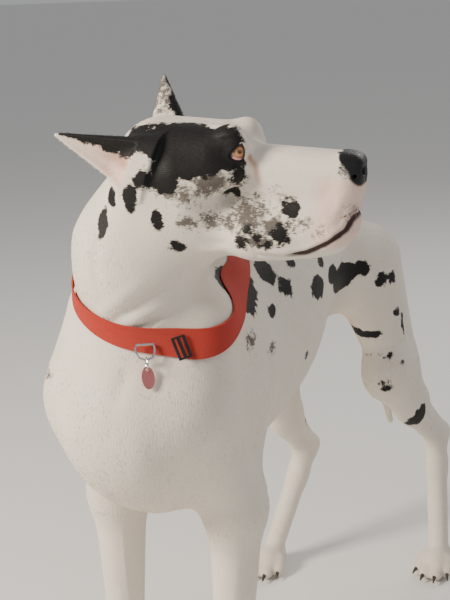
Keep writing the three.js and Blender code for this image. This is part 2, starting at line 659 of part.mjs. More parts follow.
// slider: a frame of two slots that the webbing passes through, by the dog's left end
const SLIDER_TURN = 0.5;
const around = (turn) => add(mul(lateral, Math.cos(turn)), mul(cross(collarNormal, lateral), -Math.sin(turn)));
const slideHang = around(SLIDER_TURN);
const slideTangent = unit(cross(collarNormal, slideHang));
const slideLow = bandFace(slideHang, -15, 8);
const slideHigh = bandFace(slideHang, 15, 7);
const slideUp = unit(sub(slideHigh, slideLow));
const slidePlace = new THREE.Matrix4()
  .makeBasis(V(slideTangent), V(slideUp), V(cross(slideTangent, slideUp)))
  .setPosition(V(mix(slideLow, slideHigh, 0.5)));
function plate(w, h, t, x) {
  const g = new THREE.BoxGeometry(w, h, t);
  g.translate(x, 0, 0);
  g.applyMatrix4(slidePlace);
  return solid(g);
}
const slider = plate(20, 31, 2.6, 0).subtract(plate(4.8, 26, 8, -4.4)).subtract(plate(4.8, 26, 8, 4.4));

function material(colour, roughness, metalness = 0) {
  return new THREE.MeshStandardMaterial({ color: colour, roughness, metalness });
}
const coat = material(0xe9e2d8, 0.75);
const earSkin = material(0x8a7f7c, 0.75);
const horn = material(0x2b2422, 0.4);
const eyeball = material(0x8a4a1c, 0.12);
const redWebbing = material(0xc0392b, 0.8);
const steel = material(0xb9b9bb, 0.3, 1);
const roseMetal = material(0xc4857c, 0.35, 0.8);
const blackPlastic = material(0x151516, 0.45);

const dog = new THREE.Group();
function place(name, made, mat) {
  const mesh = new THREE.Mesh(geometryOf(made), mat);
  mesh.name = name;
  dog.add(mesh);
  return mesh;
}
place("torso", torso, coat);
place("neck", neckMade, coat);
place("head", headMade, coat);
place("tail", tailMade, coat);
for (const [name, made] of Object.entries(legs)) place(name, made, coat);
place("right_ear", trimmed(earRight), earSkin);
place("left_ear", trimmed(earLeft), earSkin);
place("right_eye", eyes.right, eyeball);
place("left_eye", eyes.left, eyeball);
for (const [name, list] of Object.entries(claws)) {
  list.forEach((t, i) => place(`${name}_claw_${i + 1}`, claw(t.root, t.out, 0), horn));
}
place("collar_webbing", webbing, redWebbing);
place("collar_d_ring", dRing, steel);
place("split_ring", splitRing, steel);
place("name_tag", solid(tagGeometry), roseMetal);
place("collar_slider", slider, blackPlastic);
dog.position.set(...SHIFT);
export default dog;
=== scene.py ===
import bpy
import math
import numpy as np
from mathutils import Matrix, Vector


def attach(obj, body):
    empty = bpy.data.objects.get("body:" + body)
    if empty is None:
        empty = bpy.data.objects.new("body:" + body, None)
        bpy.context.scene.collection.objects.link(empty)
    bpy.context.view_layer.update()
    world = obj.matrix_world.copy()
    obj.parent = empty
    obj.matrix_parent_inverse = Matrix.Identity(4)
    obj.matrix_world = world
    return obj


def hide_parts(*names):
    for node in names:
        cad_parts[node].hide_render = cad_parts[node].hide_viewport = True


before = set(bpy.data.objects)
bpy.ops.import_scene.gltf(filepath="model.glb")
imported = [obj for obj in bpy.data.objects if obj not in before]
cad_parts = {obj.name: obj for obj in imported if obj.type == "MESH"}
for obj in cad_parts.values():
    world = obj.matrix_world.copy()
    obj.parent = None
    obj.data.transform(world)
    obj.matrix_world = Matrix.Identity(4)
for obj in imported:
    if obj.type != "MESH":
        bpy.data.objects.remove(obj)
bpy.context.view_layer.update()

# The hide. One skin covers trunk, neck, head, ears, legs and tail of the living dog.
# Muscle and bone show through it as soft swellings that run into each other, so it is
# worked out as one field of blended masses and turned into a net of small faces.
# Lengths here are millimetres: X to the dog's left, Y to its rear, Z up.
SHIFT = np.array([-61.494, -341.257, 0.0])
COAT_DEPTH = 1.2
EAR_DEPTH = 0.3


def placed(points):
    """Millimetres from the dog's own origin turned into the frame's metres."""
    return (np.asarray(points, float) + SHIFT) / 1000


def linked(name, mesh):
    made = bpy.data.objects.new(name, mesh)
    bpy.context.scene.collection.objects.link(made)
    return made


def listed_piece(name, points, faces):
    """A smooth piece from lists of places in millimetres and faces of any number of sides."""
    mesh = bpy.data.meshes.new(name)
    mesh.from_pydata(placed(points).tolist(), [], faces)
    mesh.polygons.foreach_set("use_smooth", np.ones(len(faces), bool))
    return linked(name, mesh)


def packed_piece(name, points, faces):
    """The same for very many faces, which all have the same number of sides."""
    sides = faces.shape[1]
    mesh = bpy.data.meshes.new(name)
    mesh.vertices.add(len(points))
    mesh.vertices.foreach_set("co", placed(points).astype(np.float32).ravel())
    mesh.loops.add(faces.size)
    mesh.loops.foreach_set("vertex_index", faces.astype(np.int32).ravel())
    mesh.polygons.add(len(faces))
    mesh.polygons.foreach_set("loop_start", np.arange(0, faces.size, sides, dtype=np.int32))
    mesh.polygons.foreach_set("use_smooth", np.ones(len(faces), bool))
    mesh.update(calc_edges=True)
    return linked(name, mesh)


def note(mesh, name, values, kind="FLOAT"):
    """Stores a number or a vector for each vertex, for the materials to read."""
    layer = mesh.attributes.new(name, kind, "POINT")
    key = "value" if kind == "FLOAT" else "vector"
    layer.data.foreach_set(key, np.asarray(values, np.float32).ravel())


def join(a, b, k):
    h = np.maximum(k - np.abs(a - b), 0) / k
    return np.minimum(a, b) - h * h * k * 0.25


def carve(a, b, k):
    return -join(-a, b, k)


def cone(p, a, b, ra, rb, flat=1.0, axis=0):
    q = p - np.array(a, float)
    d = np.array(b, float) - np.array(a, float)
    if flat != 1.0:
        q = q.copy()
        q[:, axis] /= flat
        d[axis] /= flat
    t = np.clip(q @ d / (d @ d + 1e-9), 0, 1)
    q = q - t[:, None] * d
    return (np.sqrt(np.einsum("ij,ij->i", q, q)) - (ra + t * (rb - ra))) * flat


def ball(p, c, r):
    q = p - np.array(c, float)
    return np.sqrt(np.einsum("ij,ij->i", q, q)) - r


def slab(p, c, half, r):
    q = np.abs(p - np.array(c, float)) - (np.array(half, float) - r)
    out = np.maximum(q, 0)
    return np.sqrt(np.einsum("ij,ij->i", out, out)) + np.minimum(q.max(1), 0) - r


def unit(v):
    v = np.asarray(v, float)
    return v / np.linalg.norm(v)


def trunk(p):
    d = cone(p, (0, 30, 662), (0, 270, 678), 172, 150, 0.78)
    d = join(d, cone(p, (0, -20, 588), (0, 240, 608), 92, 84, 0.8), 60)
    d = join(d, cone(p, (0, -66, 645), (0, -20, 700), 108, 84), 50)
    d = join(d, cone(p, (0, 108, 788), (0, 530, 744), 52, 50), 70)
    d = join(d, cone(p, (0, 280, 705), (0, 540, 715), 112, 102, 0.86), 60)
    d = join(d, cone(p, (0, 550, 712), (0, 634, 690), 84, 58), 50)
    for s in (-1, 1):
        d = join(d, cone(p, (s * 38, 556, 750), (s * 48, 626, 704), 38, 32), 40)
    return d


TOES = ((-30, -16, 16), (-11, -36, 17), (11, -36, 17), (30, -16, 16))


def paw(p, x, y, k):
    d = cone(p, (x, y + 22, 24), (x, y - 8, 30), 30 * k, 30 * k)
    for dx, dy, r in TOES:
        root = (x + dx * 0.8 * k, y + dy * 0.2, 32)
        d = join(d, cone(p, root, (x + dx * k, y + dy * k - 4, 18), r * k, (r - 1) * k), 7)
    return d


FORE = {
    "right": (-1, (104, 26, 450), (96, 6, 210), (95, -4)),
    "left": (1, (94, 30, 455), (90, 8, 210), (90, -4)),
}
HIND = {
    "right": (-1, (80, 620, 702), (112, 560, 458), (96, 712, 252), (152, 655)),
    "left": (1, (80, 620, 702), (124, 596, 498), (156, 812, 280), (172, 785)),
}


def foreleg(p, s, elbow, wrist, foot):
    e = np.array((s * elbow[0], elbow[1], elbow[2]))
    c = np.array((s * wrist[0], wrist[1], wrist[2]))
    d = cone(p, (s * 42, 88, 788), (s * 78, -48, 690), 40, 54, 0.84)
    d = join(d, cone(p, (s * 76, -22, 776), (s * 80, -52, 696), 50, 50), 44)
    d = join(d, ball(p, (s * 76, -76, 664), 46), 40)
    d = join(d, cone(p, (s * 82, -62, 650), e + (0, -8, 30), 52, 39), 40)
    d = join(d, cone(p, (s * 78, 60, 710), e + (0, 28, 40), 58, 36, 0.75), 45)
    d = join(d, cone(p, e, c, 46, 29, 0.86), 40)
    d = join(d, ball(p, e + (0, 42, 14), 17), 24)
    d = join(d, cone(p, c + (0, -3, 10), c + (0, 0, -25), 31, 27), 18)
    d = join(d, cone(p, c + (0, 0, -20), (s * foot[0], foot[1] + 22, 42), 26, 27), 16)
    return join(d, paw(p, s * foot[0], foot[1], 1), 14)


def hindleg(p, s, hip, knee, hock, foot):
    h, k, q = (np.array((s * v[0], v[1], v[2])) for v in (hip, knee, hock))
    f = np.array((s * foot[0], foot[1], 38))
    m = k + (q - k) * 0.45
    d = cone(p, h + (s * 2, -20, -12), k + (0, 18, 28), 82, 47, 0.74)
    d = join(d, cone(p, h + (0, 30, -24), k + (0, 90, 0), 60, 42, 0.68), 50)
    d = join(d, cone(p, k + (0, -6, 0), k + (0, -6, 1), 38, 38, 0.9), 30)
    d = join(d, cone(p, k + (0, 14, -10), m + (0, 8, 0), 50, 36, 0.78), 34)
    d = join(d, cone(p, k + (0, 62, -22), m + (0, 26, 0), 42, 27, 0.72), 34)
    d = join(d, cone(p, m, q + (0, -6, 12), 34, 25, 0.72), 24)
    d = join(d, cone(p, m + (0, 34, 8), q + (0, 30, 12), 12, 13), 22)
    d = join(d, ball(p, q + (0, 30, 8), 17), 20)
    d = join(d, cone(p, q + (0, -2, 4), q + (f - q) * 0.25, 31, 25, 0.8), 18)
    d = join(d, cone(p, q + (f - q) * 0.2, f, 25, 24, 0.88), 14)
    return join(d, paw(p, f[0], f[1] - 18, 0.95), 14)


def tail(p):
    d = cone(p, (0, 644, 722), (6, 710, 670), 34, 28)
    d = join(d, cone(p, (6, 710, 670), (22, 764, 550), 27, 20), 20)
    d = join(d, cone(p, (22, 764, 550), (38, 794, 420), 20, 13), 20)
    return join(d, cone(p, (38, 794, 420), (50, 832, 300), 13, 7), 16)


def neck(p):
    d = cone(p, (-10, -40, 715), (0, -52, 880), 84, 70)
    d = join(d, cone(p, (0, 4, 800), (4, -4, 925), 42, 34), 50)
    d = join(d, cone(p, (2, -52, 880), (36, -46, 982), 70, 46), 50)
    return join(d, cone(p, (6, -68, 842), (112, -38, 905), 50, 36), 50)


# The head has a frame of its own: along the muzzle, to the dog's left, up.
YAW, PITCH = math.radians(100), math.radians(-4.5)
ALONG = np.array((math.sin(YAW) * math.cos(PITCH), -math.cos(YAW) * math.cos(PITCH), math.sin(PITCH)))
SIDE = unit(np.cross((0, 0, 1), ALONG))
UP = np.cross(ALONG, SIDE)
AXES = np.stack((ALONG, SIDE, UP))
HEAD_AT = np.array((310, 0, 984)) - ALONG * 330 + UP * 22
EYE_RADIUS = 12.5
EYE_AT = (178, 38, -5)
# corners of the lid opening, forward and up from the eye's middle, and how far each side bows
LID_CORNERS = ((-10.5, -5.6), (7.2, -9.8), (4.6, 10.6))
LID_BULGE = (2.2, 1.8, 1.2)
MOUTH = ((188, -119), (194, -122), (212, -131), (244, -131), (274, -122), (300, -107), (318, -92), (326, -76))


def to_head(p):
    return (p - HEAD_AT) @ AXES.T


def from_head(q):
    return HEAD_AT + np.asarray(q, float) @ AXES


def lids(q, s):
    # the opening between the lids, a rounded triangle that widens outwards
    out = unit((0.35, s * 0.93, 0.05))
    fore = unit(np.cross(out, (0, 0, 1)) * s * -1)
    if fore[0] < 0:
        fore = -fore
    up = np.cross(out, fore)
    up = up if up[2] > 0 else -up
    c = q - np.array((EYE_AT[0], s * EYE_AT[1], EYE_AT[2]))
    z = c @ out
    wide = 1 + np.maximum(z - 10, 0) * 0.035
    x, y = (c @ fore) / wide, (c @ up) / wide
    d = np.full(len(q), -1e9)
    for i in range(3):
        (x0, y0), (x1, y1) = LID_CORNERS[i], LID_CORNERS[(i + 1) % 3]
        n = unit((y1 - y0, -(x1 - x0)))
        side = (x - x0) * n[0] + (y - y0) * n[1]
        run = unit((x1 - x0, y1 - y0))
        t = ((x - x0) * run[0] + (y - y0) * run[1]) / math.hypot(x1 - x0, y1 - y0)
        side = side - LID_BULGE[i] * 4 * t * (1 - t)
        d = carve(d, -side, 1.5) if i else side
    return np.where(z > 0, d, 50)


def head(p):
    q = to_head(p)
    b = q[:, 1].copy()
    q[:, 1] = np.abs(b)
    d = slab(q, (103, 0, -22), (81, 64, 46), 44)
    d = join(d, cone(q, (60, 56, -52), (110, 52, -66), 36, 34, 0.6, 1), 26)
    d = join(d, cone(q, (105, 58, -36), (172, 45, -34), 13, 11), 20)
    d = join(d, ball(q, (170, 35, 10), 17), 20)
    d = join(d, ball(q, EYE_AT, EYE_RADIUS + 3.5), 9)
    d = join(d, slab(q, (250, 0, -34), (82, 34, 34), 28), 22)
    d = join(d, slab(q, (243, 0, -84), (72, 30, 42), 22), 16)
    d = join(d, cone(q, (204, 24, -112), (292, 21, -97), 32, 28), 26)
    d = join(d, cone(q, (190, 27, -112), (235, 25, -112), 24, 22), 20)
    d = join(d, slab(q, (311, 0, -68), (15, 27, 40), 14), 16)
    d = join(d, cone(q, (90, 22, -96), (268, 6, -114), 34, 19), 24)
    d = join(d, slab(q, (314, 0, -20), (18, 25, 20), 14), 7)
    return d


def openings(p, d):
    """Cuts the lid openings, sockets, nostrils and the cleft of nose and lip into the field d."""
    q = to_head(p)
    near = (q[:, 0] > 150) & (np.abs(q[:, 1]) < 75) & (q[:, 2] > -160) & (q[:, 2] < 50)
    if not near.any():
        return d
    d = d.copy()
    f = d[near]
    q = q[near]
    b = q[:, 1].copy()
    for s in (-1, 1):
        opening = lids(q, s)
        f = carve(f, opening, 2.2)
        f = carve(f, ball(q, (EYE_AT[0], s * EYE_AT[1], EYE_AT[2]), EYE_RADIUS - 0.25), 0.4)
    q[:, 1] = np.abs(b)
    nostril = cone(q, (316, 6, -25), (338, 12, -20), 2.0, 6.5)
    nostril = join(nostril, cone(q, (322, 15, -25), (324, 34, -29), 1.3, 3.6), 3)
    f = carve(f, nostril, 3)
    # the cleft down the middle of the nose and upper lip
    f = f + 1.6 * np.exp(-((q[:, 1] / 1.7) ** 2)) * (q[:, 0] > 322) * np.clip((-q[:, 2] - 14) / 6, 0, 1)
    d[near] = f
    return d


def path_distance(points, line):
    """Distance to a line through a few places, and how far along it (0 to 1) that is."""
    line = np.array(line, float)
    best = np.full(len(points), 1e9)
    where = np.zeros(len(points))
    for i in range(len(line) - 1):
        a, ab = line[i], line[i + 1] - line[i]
        t = np.clip((points - a) @ ab / (ab @ ab), 0, 1)
        d = np.linalg.norm(points - a - t[:, None] * ab, axis=1)
        hit = d < best
        best[hit] = d[hit]
        where[hit] = ((i + t) / (len(line) - 1))[hit]
    return best, where


EARS = {
    # base, tip, direction of its width, direction that its cup opens to, half width, depth
    "right": ((50, -62, -28), (-48, -80, 4), (0.25, 0, 0.97), (0.1, -0.9, -0.25), 35.5, 16.5),
    "left": ((54, 57, -6), (38, 80, 68), (1, 0.1, 0.1), (0.35, 0.85, -0.2), 29.5, 13.5),
}


def ear_place(q, name):
    """An ear's own frame: share of its length, across, out of its cup, half width and depth."""
    base, tip, wide, opening, width, depth = EARS[name]
    axis = np.array(tip, float) - base
    length = np.linalg.norm(axis)
    a = axis / length
    w = unit(np.array(wide) - a * np.dot(a, wide))
    o = np.array(opening) - a * np.dot(a, opening)
    o = unit(o - w * np.dot(w, o))
    c = q - np.array(base, float)
    t = c @ a / length
    tt = np.clip(t, -0.22, 0.999)
    shape = np.power(1 - tt, 0.8) * (1 - 0.25 * tt) + 0.035
    return t, c @ w, c @ o, width * shape, depth * shape, length


def ear(q, name):
    t, x, y, w, dp, length = ear_place(q, name)
    deep = dp + 2
    leaf = (np.sqrt((x / w) ** 2 + (y / deep) ** 2) - 1) * np.minimum(w, deep) * 0.9
    leaf = np.maximum(leaf, (t - 1) * length)
    leaf = np.maximum(leaf, (-0.22 - t) * length)
    cw, cd = w * 0.84, dp * 0.97
    shift = EARS[name][5] * 0.98 * (1 - np.clip(t, 0, 1) * 0.8)
    cup = (np.sqrt((x / cw) ** 2 + ((y - shift) / cd) ** 2) - 1) * np.minimum(cw, cd) * 0.9
    cup = np.maximum(cup, (0.03 - t) * length)
    made = carve(leaf, cup, 2.2)
    # folds of gristle inside the cup
    for fold in ((0.25, 0.52, 0.3), (-0.3, 0.42, 0.26)):
        ridge = np.hypot(x - fold[0] * w, y + dp * 0.12 + 2) - (4.2 - t * 4.5)
        made = join(made, np.maximum(ridge, (np.abs(t - fold[1] * 0.6) - fold[2]) * length), 4)
    return made + EAR_DEPTH


PARTS = (
    (trunk, (-220, -260, 440), (220, 800, 900), 0),
    (lambda p: foreleg(p, *FORE["right"]), (-230, -220, -20), (40, 220, 880), 34),
    (lambda p: foreleg(p, *FORE["left"]), (-40, -220, -20), (230, 220, 880), 34),
    (lambda p: hindleg(p, *HIND["right"]), (-300, 440, -20), (60, 900, 860), 34),
    (lambda p: hindleg(p, *HIND["left"]), (-60, 440, -20), (300, 960, 860), 34),
    (tail, (-100, 590, 240), (130, 900, 830), 24),
    (neck, (-150, -220, 600), (220, 130, 1100), 38),
    (head, (-90, -200, 730), (400, 160, 1100), 34),
)


def flesh(p):
    d = np.full(len(p), 200.0)
    for part, low, high, k in PARTS:
        inside = ((p > low) & (p < high)).all(1)
        if not inside.any():
            continue
        own = part(p[inside])
        d[inside] = own if k == 0 else join(d[inside], own, k)
    return d


EAR_BOXES = (("right", (-75, -130, -75), (110, -20, 40)), ("left", (0, 5, -55), (110, 120, 95)))


def hide(p):
    """The skin's field: flesh less the coat's depth, with the ears joined on and the openings cut."""
    d = flesh(p) + COAT_DEPTH
    q = to_head(p)
    for name, low, high in EAR_BOXES:
        inside = ((q > low) & (q < high)).all(1)
        if inside.any():
            d[inside] = join(d[inside], ear(q[inside], name), 9)
    d = openings(p, d)
    return np.maximum(d, 0.25 - p[:, 2])


def net(field, low, high, step, coarse=3):
    """Quads over the surface where the field is zero, from a grid that is fine only near it."""
    low = np.array(low, float)
    count = np.ceil((np.array(high) - low) / step).astype(int) + 1
    wide = step * coarse
    rough = np.ceil((np.array(high) - low) / wide).astype(int) + 2
    axes = [low[i] + wide * np.arange(rough[i]) for i in range(3)]
    at = np.stack(np.meshgrid(*axes, indexing="ij"), -1).reshape(-1, 3)
    values = np.concatenate([field(at[i : i + 100000]) for i in range(0, len(at), 100000)]).reshape(rough)
    near = np.abs(values) < wide * 1.9
    grown = near.copy()
    for a in range(3):
        s, t = [slice(None)] * 3, [slice(None)] * 3
        s[a], t[a] = slice(0, -1), slice(1, None)
        grown[tuple(s)] |= near[tuple(t)]
    fine = values
    for a in range(3):
        fine, grown = np.repeat(fine, coarse, a), np.repeat(grown, coarse, a)
    fine = fine[: count[0], : count[1], : count[2]].copy()
    grown = grown[: count[0], : count[1], : count[2]]
    at = low + np.argwhere(grown) * step
    fine[grown] = np.concatenate([field(at[i : i + 200000]) for i in range(0, len(at), 200000)])
    inside = fine < 0
    corners = [(i, j, k) for i in (0, 1) for j in (0, 1) for k in (0, 1)]
    n = count - 1
    filled = sum(inside[i : n[0] + i, j : n[1] + j, k : n[2] + k].astype(np.int8) for i, j, k in corners)
    cells = np.argwhere((filled > 0) & (filled < 8))
    index = -np.ones(n, int)
    index[tuple(cells.T)] = np.arange(len(cells))
    total, weight = np.zeros((len(cells), 3)), np.zeros(len(cells))
    for a in range(3):
        for o in corners:
            if o[a]:
                continue
            e = list(o)
            e[a] = 1
            ga, gb = fine[tuple((cells + o).T)], fine[tuple((cells + e).T)]
            cross = (ga < 0) != (gb < 0)
            q = np.array(o, float) + np.zeros((len(cells), 3))
            q[:, a] += np.where(cross, ga / (ga - gb + 1e-12), 0)
            total[cross] += q[cross]
            weight[cross] += 1
    vertices = low + (cells + total / weight[:, None]) * step
    quads = []
    for a in range(3):
        b, c = ((1, 2), (2, 0), (0, 1))[a]
        s, t = [slice(None)] * 3, [slice(None)] * 3
        s[a], t[a] = slice(0, -1), slice(1, None)
        edge = np.argwhere(inside[tuple(s)] != inside[tuple(t)])
        within = (edge[:, b] > 0) & (edge[:, b] < count[b] - 1)
        edge = edge[within & (edge[:, c] > 0) & (edge[:, c] < count[c] - 1)]
        solid = inside[tuple(edge.T)]

        def cell(db, dc):
            q = edge.copy()
            q[:, b] -= db
            q[:, c] -= dc
            return index[tuple(q.T)]

        face = np.stack([cell(1, 1), cell(0, 1), cell(0, 0), cell(1, 0)], 1)
        face[~solid] = face[~solid][:, ::-1]
        quads.append(face)
    return vertices, np.concatenate(quads)


def slope(field, p, step=0.4):
    d = field(p)
    g = np.stack([field(p + np.eye(3)[a] * step) - d for a in range(3)], 1) / step
    return d, g


def settled(field, p, rounds, most):
    """Moves points onto the field's surface."""
    for _ in range(rounds):
        d, g = slope(field, p)
        size = np.maximum((g * g).sum(1), 0.15)
        p = p - g * np.clip(d / size, -most, most)[:, None]
    return p


COLLAR_AT = np.array((-8, -50, 808.0))
COLLAR_NORMAL = unit((0.34, -0.26, 1))


def body_side(p):
    return np.maximum(hide(p), (p - COLLAR_AT) @ COLLAR_NORMAL)


def head_side(p):
    return np.maximum(hide(p), (COLLAR_AT - p) @ COLLAR_NORMAL)


low_part, low_quads = net(body_side, (-225, -225, -8), (225, 875, 900), 3.4)
low_part = settled(body_side, low_part, 1, 1.5)
high_part, high_quads = net(head_side, (-120, -190, 700), (350, 110, 1110), 1.7)
high_part = settled(head_side, high_part, 2, 0.9)
skin_at = np.concatenate((low_part, high_part))
skin_quads = np.concatenate((low_quads, high_quads + len(low_part)))
_, skin_out = slope(hide, skin_at, 1.2)
skin_out /= np.linalg.norm(skin_out, axis=1)[:, None] + 1e-9

# Folds of loose skin, edges of muscles, veins and the mouth: soft strokes pressed into the
# hide or raised from it. Each stroke is a line through a few places, its width and height,
# and the strokes of the second list are on both sides of the body.
BODY_STROKES = (
    # folds of the throat above the collar
    (
        ((16, -128, 776), (28, -121, 779), (46, -112, 788), (62, -96, 797), (74, -77, 804), (88, -50, 812)),
        4.5, -4.2,
    ),
    (((20, -126, 790), (46, -116, 802), (64, -100, 812), (84, -70, 822)), 8, 3.2),
    (((2, -127, 792), (21, -125, 802), (54, -114, 822), (75, -99, 838), (92, -80, 850)), 6, -2.6),
    (((44, -110, 776), (53, -107, 783), (60, -99, 792)), 3.5, -2.0),
    (((-14, -128, 800), (4, -132, 812), (30, -128, 832), (52, -118, 850)), 10, 2.2),
    # edge of the nape's muscle
    (((-2, -131, 910), (-6, -136, 880), (-5, -138, 855), (2, -136, 830)), 9, -2.6),
    # breast: the midline, the breast bone's point and the two breast muscles
    (((36, -140, 744), (26, -150, 700), (14, -158, 650), (4, -150, 590), (0, -120, 535)), 11, -5.0),
    (((-30, -150, 700), (-42, -150, 640), (-36, -136, 580)), 20, 3.0),
    (((50, -146, 700), (54, -146, 640), (44, -134, 580)), 20, 3.0),
    (((-78, -118, 600), (-58, -112, 560), (-44, -86, 520)), 10, -4.0),
    (((80, -116, 600), (60, -110, 560), (46, -86, 520)), 10, -4.0),
    # muscles and veins of the forearms
    (((126, -16, 440), (114, -20, 360), (104, -18, 280)), 9, 2.0),
    (((-128, -18, 440), (-118, -22, 360), (-110, -20, 280)), 9, 2.0),
    (((140, 24, 430), (124, 24, 350), (112, 22, 270)), 6, -2.0),
    (((-142, 24, 430), (-130, 24, 350), (-120, 22, 270)), 6, -2.0),
    (((74, -10, 430), (72, -12, 350), (70, -10, 260)), 3, 1.2),
    (((-80, -10, 430), (-78, -12, 350), (-74, -10, 260)), 3, 1.2),
    # thigh: hollow before the hamstrings, kneecap, calf and shin
    (((142, 600, 660), (152, 622, 590), (146, 650, 520)), 12, -3.6),
    (((-142, 600, 660), (-150, 612, 590), (-142, 630, 500)), 12, -3.6),
    (((148, 566, 640), (160, 572, 570), (150, 574, 520)), 20, 2.6),
    (((-148, 566, 640), (-158, 560, 560), (-146, 548, 500)), 20, 2.6),
    (((146, 640, 450), (158, 700, 390), (168, 760, 330)), 5, -2.2),
    (((-136, 600, 410), (-130, 650, 350), (-120, 690, 300)), 5, -2.2),
    (((130, 606, 430), (140, 660, 380), (150, 720, 330)), 3, 1.2),
    (((-90, 590, 400), (-84, 630, 350), (-82, 670, 300)), 3, 1.2),
)
BOTH_SIDES = (
    # shoulder: spine of the blade, the point, and the long head behind it
    (((118, -60, 700), (104, 10, 760), (72, 66, 812)), 14, 3.2),
    (((132, -30, 660), (128, 40, 700), (108, 84, 752)), 12, -3.6),
    (((134, 84, 560), (138, 92, 640), (120, 104, 720)), 12, -4.0),
    (((136, 10, 560), (140, 30, 620), (132, 50, 670)), 18, 2.6),
    # fold behind the elbow
    (((132, 52, 500), (124, 74, 480), (108, 80, 462)), 7, -3.0),
    # flank and belly
    (((150, 470, 640), (122, 510, 600), (104, 540, 560)), 14, -4.5),
    (((118, 420, 640), (112, 470, 620), (110, 510, 612)), 10, 3.0),
)
HEAD_STROKES = (
    # on both sides of the head, in its own frame: along, to the side, up
    (((196, 30, -2), (204, 30, -30), (206, 36, -62)), 5, -1.6),
    (((186, 50, -26), (176, 56, -34), (158, 60, -34)), 4, -1.5),
    (((190, 47, -22), (182, 53, -26), (168, 56, -24)), 3, 1.1),
    (((158, 48, 14), (176, 46, 16), (192, 36, 10)), 4.5, 1.8),
    (((152, 52, 8), (168, 52, 10), (182, 44, 8)), 3, -1.4),
    (((188, 45, -110), (180, 48, -92), (178, 52, -70)), 6, -2.4),
    (((196, 50, -104), (206, 55, -84), (222, 56, -66)), 9, 2.0),
    (((176, 44, -120), (160, 46, -122), (140, 46, -116)), 6, -2.2),
    (((168, 40, -132), (150, 40, -134), (128, 42, -128)), 6, 1.8),
    (((120, 62, -90), (134, 60, -70), (140, 60, -50)), 10, -1.6),
    (((300, 36, -36), (288, 38, -52), (262, 44, -62)), 8, -1.2),
    (((312, 30, -46), (306, 34, -66), (296, 38, -88)), 6, 1.2),
    (((196, 22, 6), (230, 26, -6), (280, 26, -4)), 5, 1.0),
    (((120, 0, 26), (150, 0, 26), (186, 0, 14)), 9, -2.6),
)
press = np.zeros(len(skin_at))
turned = tuple((tuple((-x, y, z) for x, y, z in line), width, height) for line, width, height in BOTH_SIDES)
for line, width, height in BODY_STROKES + BOTH_SIDES + turned:
    line = np.array(line, float)
    near = ((skin_at > line.min(0) - width * 3 - 12) & (skin_at < line.max(0) + width * 3 + 12)).all(1)
    if near.any():
        away, share = path_distance(skin_at[near], line)
        press[near] += height * np.exp(-((away / width) ** 2)) * np.sin(math.pi * (0.08 + 0.84 * share))
skin_head = to_head(skin_at)
mirrored = skin_head * (1, 0, 1) + np.abs(skin_head[:, 1:2]) * (0, 1, 0)
head_share = np.clip((skin_head[:, 0] + 10 - np.clip(-skin_head[:, 2] - 60, 0, 60) * 0.7) / 60, 0, 1)
for line, width, height in HEAD_STROKES:
    line = np.array(line, float)
    near = ((mirrored > line.min(0) - width * 3 - 6) & (mirrored < line.max(0) + width * 3 + 6)).all(1)
    if near.any():
        away, share = path_distance(mirrored[near], line)
        press[near] += height * np.exp(-((away / width) ** 2)) * np.sin(math.pi * (0.08 + 0.84 * share))
lip_away, _ = path_distance(mirrored[:, (0, 2)], MOUTH)
lip_side = mirrored[:, 2] - np.interp(mirrored[:, 0], [m[0] for m in MOUTH], [m[1] for m in MOUTH])
on_face = (mirrored[:, 0] > 176) & (mirrored[:, 2] < -60) & (mirrored[:, 1] < 75)
fade = np.clip((mirrored[:, 0] - 180) / 14, 0, 1)
press += np.where(on_face, -2.4 * np.exp(-((lip_away / 2.3) ** 2)) * fade, 0)
press += np.where(on_face & (lip_side > 0), 1.6 * np.exp(-(((lip_away - 6) / 4.0) ** 2)) * fade, 0)
press += np.where(on_face & (lip_side < 0), 0.8 * np.exp(-(((lip_away - 5) / 3.0) ** 2)) * fade, 0)
skin_at = skin_at + skin_out * press[:, None]
skin_at[:, 2] = np.maximum(skin_at[:, 2], 0.25)
skin_head = to_head(skin_at)

# Markings of a harlequin coat: white, with torn black patches, merle grey on the cheeks, and
# pink where the skin shows through thin hair. A patch is (middle, half sizes) and the torn
# edge comes from noise in the shader, so here it is only how deep a point lies inside it.
BLACK_ON_HEAD = (
    ((108, -62, 6), (60, 46, 30)), ((128, -60, -14), (44, 40, 26)), ((160, -52, 8), (26, 30, 22)),
    ((62, -66, 10), (22, 34, 14)), ((172, -50, -12), (20, 26, 18)), ((98, -64, -34), (22, 30, 22)),
    ((22, -62, 12), (36, 36, 9)), ((-8, -80, 12), (34, 20, 7)),
    ((72, -84, -40), (13, 30, 14)), ((50, -78, -72), (11, 30, 20)), ((22, -70, -70), (8, 34, 13)),
    ((96, 60, -6), (40, 30, 26)), ((150, 52, -34), (22, 24, 18)), ((54, 84, 20), (16, 16, 24)),
    ((312, 0, -16), (17, 30, 24)),
)
